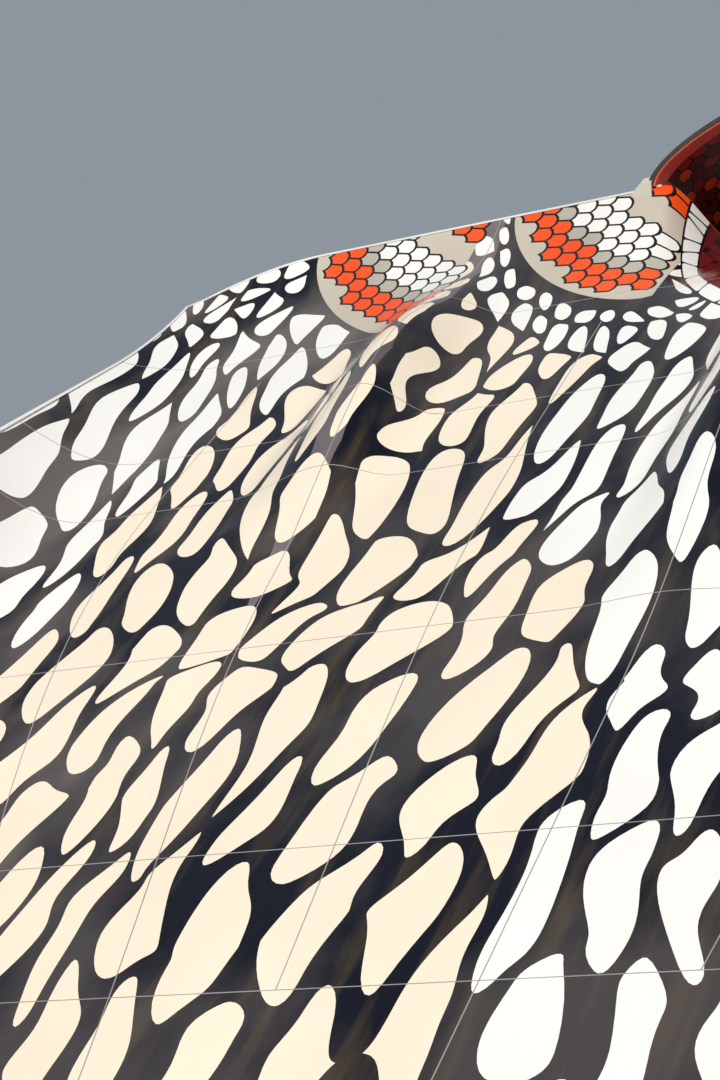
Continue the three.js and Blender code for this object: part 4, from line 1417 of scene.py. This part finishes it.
def column(name, under, slope, radius, spread):
    """A round column on its base plate, up to a cap plate in the plane of a beam's underside."""
    plane = np.array([0, -math.sin(slope), math.cos(slope)])
    axes = [ACROSS, np.cross(plane, ACROSS), plane]
    parts = Parts()
    base_plate(parts, under[0], under[1])

    def leg(start, axis, leg_radius, sides):
        """A round leg from a point up to the cap plates' plane."""
        w = unit(np.asarray(axis, float))
        ring = ring_around(start, axis, leg_radius, sides)
        reach = (under - plane * (FIT + CAP["thick"]) - ring) @ plane / (w @ plane)
        parts.loft([ring, ring + reach[:, None] * w], "galvanised")

    def cap(at, length, width):
        parts.box(at - plane * (FIT + CAP["thick"] / 2), (length, width, CAP["thick"]), "galvanised", axes)

    base = np.array([under[0], under[1], PLATE["thick"]])
    leg(base, UP, radius, COLUMN_SIDES)
    cap_size = 2 * (radius + CAP["margin"])
    cap(under, cap_size, min(cap_size, BEAM["width"] + 2 * CAP["margin"]))
    for hand in (-1, 1) if spread else ():
        foot = under - UP * spread * ARM["rise"]
        head = under + hand * spread * ACROSS
        leg(foot, head - foot, ARM["radius"], ARM["sides"])
        cap(head, CAP["arm_length"], BEAM["width"])
    for quarter in np.arange(4) * math.pi / 2:
        gusset(parts, base, heading(quarter + math.pi / 4), radius)
        middle, aside = heading(quarter), heading(quarter + math.pi / 2)
        for spot in (middle + aside, middle):
            anchor(parts, base + spot * (PLATE["size"] / 2 - ANCHOR["inset"]))
    parts.settle(f"steel_{name}", "steel", name)


def make_hood_steel():
    widest = STRIP_SHARE + (1 - STRIP_SHARE) * BEAM_END_SHARE
    for b in BEAMS:
        heads = (-1, 0, 1) if b["spread"] else (0,)
        stiffeners = [side * (b["column_x"] + k * b["spread"]) for side, _ in SIDES for k in heads]
        hood_beam(b["name"], lambda k, s: k * widest * half_width(s), b["s"], stiffeners)
        angle = min((b["s"] - RUNOUT_LENGTH) / TRANSITION_RADIUS, SLOPE)
        for side, side_name in SIDES:
            under = place(side * b["column_x"], b["s"], -BEAM_BOTTOM)
            column(f"column_{b['name']}_{side_name}", under, angle, b["radius"], b["spread"])


def make_rim_steel():
    r = RIM_BEAM
    rim_s = TOP_S - FLANGE_THICK - BEAM["width"] / 2
    middle, half = (r["to_x"] + r["from_x"]) / 2, (r["to_x"] - r["from_x"]) / 2
    for side, side_name in SIDES:
        stiffeners = [side * (r["column_x"] + k * r["spread"]) for k in (-1, 0, 1)]
        name = f"rim_{side_name}"
        hood_beam(name, lambda k, s: np.full_like(s, side * middle + k * half), rim_s, stiffeners)
        edges = [rim_s + way * BEAM["width"] / 2 for way in (-1, 1)]
        low, high = (under_form(side * r["column_x"], edge, BEAM_BOTTOM) for edge in edges)
        slope = math.atan2(high[2] - low[2], high[1] - low[1])
        column(f"column_{name}", (low + high) / 2, slope, r["radius"], r["spread"])


def cross_beam(name, size, top, middle, seats):
    """A beam across under the bulkhead or the tubes, with round seats in its top where it carries tubes."""
    half, low = size["half"], top - size["height"]
    outline = [(-half, low), (half, low), (half, top)]
    if seats:
        seat = TUBE_FLANGE["radius"] + FIT
        reach = math.acos(-top / seat)
        for x in (TUBE["x"], -TUBE["x"]):
            outline += [(x + seat * math.sin(a), -seat * math.cos(a)) for a in np.linspace(reach, -reach, 33)]
    outline.append((-half, top))
    narrowed, raised = 1 - WEB_INSET / half, 0 if seats else WEB_INSET
    web = [(x * narrowed, v + (raised if v < (low + top) / 2 else 0)) for x, v in outline]
    parts = Parts()
    edge = size["width"] / 2
    inner = edge - FLANGE_PLATE
    for near, far, shape in ((-edge, -inner, outline), (-inner, inner, web), (inner, edge, outline)):
        xs, vs = np.array(shape).T
        parts.loft([on_bulkhead(xs, vs, middle + depth) for depth in (far, near)], "galvanised")
    parts.settle(f"steel_beam_{name}", "steel", f"beam_{name}")
    for side, side_name in SIDES:
        under = on_bulkhead(side * size["column_x"], low, middle)
        column(f"column_{name}_{side_name}", under, TUBE["slope"], size["radius"], 0.0)


def make_cross_steel():
    cross_beam("portal", PORTAL_BEAM, -TROUGH["drop"] - BULKHEAD["skirt"] - FIT, BULKHEAD["thick"] / 2, False)
    cross_beam("tubes", CRADLE, CRADLE["top"], BULKHEAD["thick"] + TUBE["section"], True)


# Camera, light and floor
CAMERA = dict(place=(5.85, -15.576, 1.7), turn=28.1, pitch=15.4, focal_pixels=2428, sensor=36, far=500)
PHOTO_HEIGHT = 1080
FLOOR_HALF = 300
BACKDROP = dict(colour=(0.64, 0.72, 0.82, 1), strength=0.42)
SUN = dict(energy=2.85, angle=3, colour=(1.0, 0.95, 0.88), tilt=50, turn=8)


def add_object(name, data):
    thing = bpy.data.objects.new(name, data)
    bpy.context.scene.collection.objects.link(thing)
    return thing


def make_camera():
    data = bpy.data.cameras.new("camera")
    data.sensor_width = CAMERA["sensor"]
    data.lens = CAMERA["focal_pixels"] / PHOTO_HEIGHT * CAMERA["sensor"]
    data.clip_end = CAMERA["far"]
    camera = add_object("camera", data)
    camera.location = CAMERA["place"]
    camera.rotation_euler = (math.radians(90 + CAMERA["pitch"]), 0, math.radians(CAMERA["turn"]))
    bpy.context.scene.camera = camera


def make_stage():
    mesh = bpy.data.meshes.new("floor")
    corners = rectangle(-FLOOR_HALF, -FLOOR_HALF, FLOOR_HALF, FLOOR_HALF)
    mesh.from_pydata([(x, y, 0) for x, y in corners], [], [(0, 1, 2, 3)])
    Finish("floor").surface(Base_Color=(0.5, 0.5, 0.5, 1), Roughness=0.8)
    mesh.materials.append(MATERIALS["floor"])
    add_object("floor", mesh)
    world = bpy.data.worlds.new("backdrop")
    world.use_nodes = True
    background = world.node_tree.nodes["Background"]
    background.inputs["Color"].default_value = BACKDROP["colour"]
    background.inputs["Strength"].default_value = BACKDROP["strength"]
    bpy.context.scene.world = world
    sun = bpy.data.lights.new("sun", "SUN")
    sun.energy, sun.angle, sun.color = SUN["energy"], math.radians(SUN["angle"]), SUN["colour"]
    add_object("sun", sun).rotation_euler = (math.radians(SUN["tilt"]), 0, math.radians(SUN["turn"]))
    bpy.context.scene.view_settings.view_transform = "Standard"


make_camera()
make_materials()
make_stage()
make_hood(make_regions())
make_hood_trim()
make_trough()
make_canopy()
make_lining()
make_joints()
make_bulkhead()
for side, side_name in SIDES:
    for number in (1, 2):
        tube(side, side_name, number)
make_hood_steel()
make_rim_steel()
make_cross_steel()
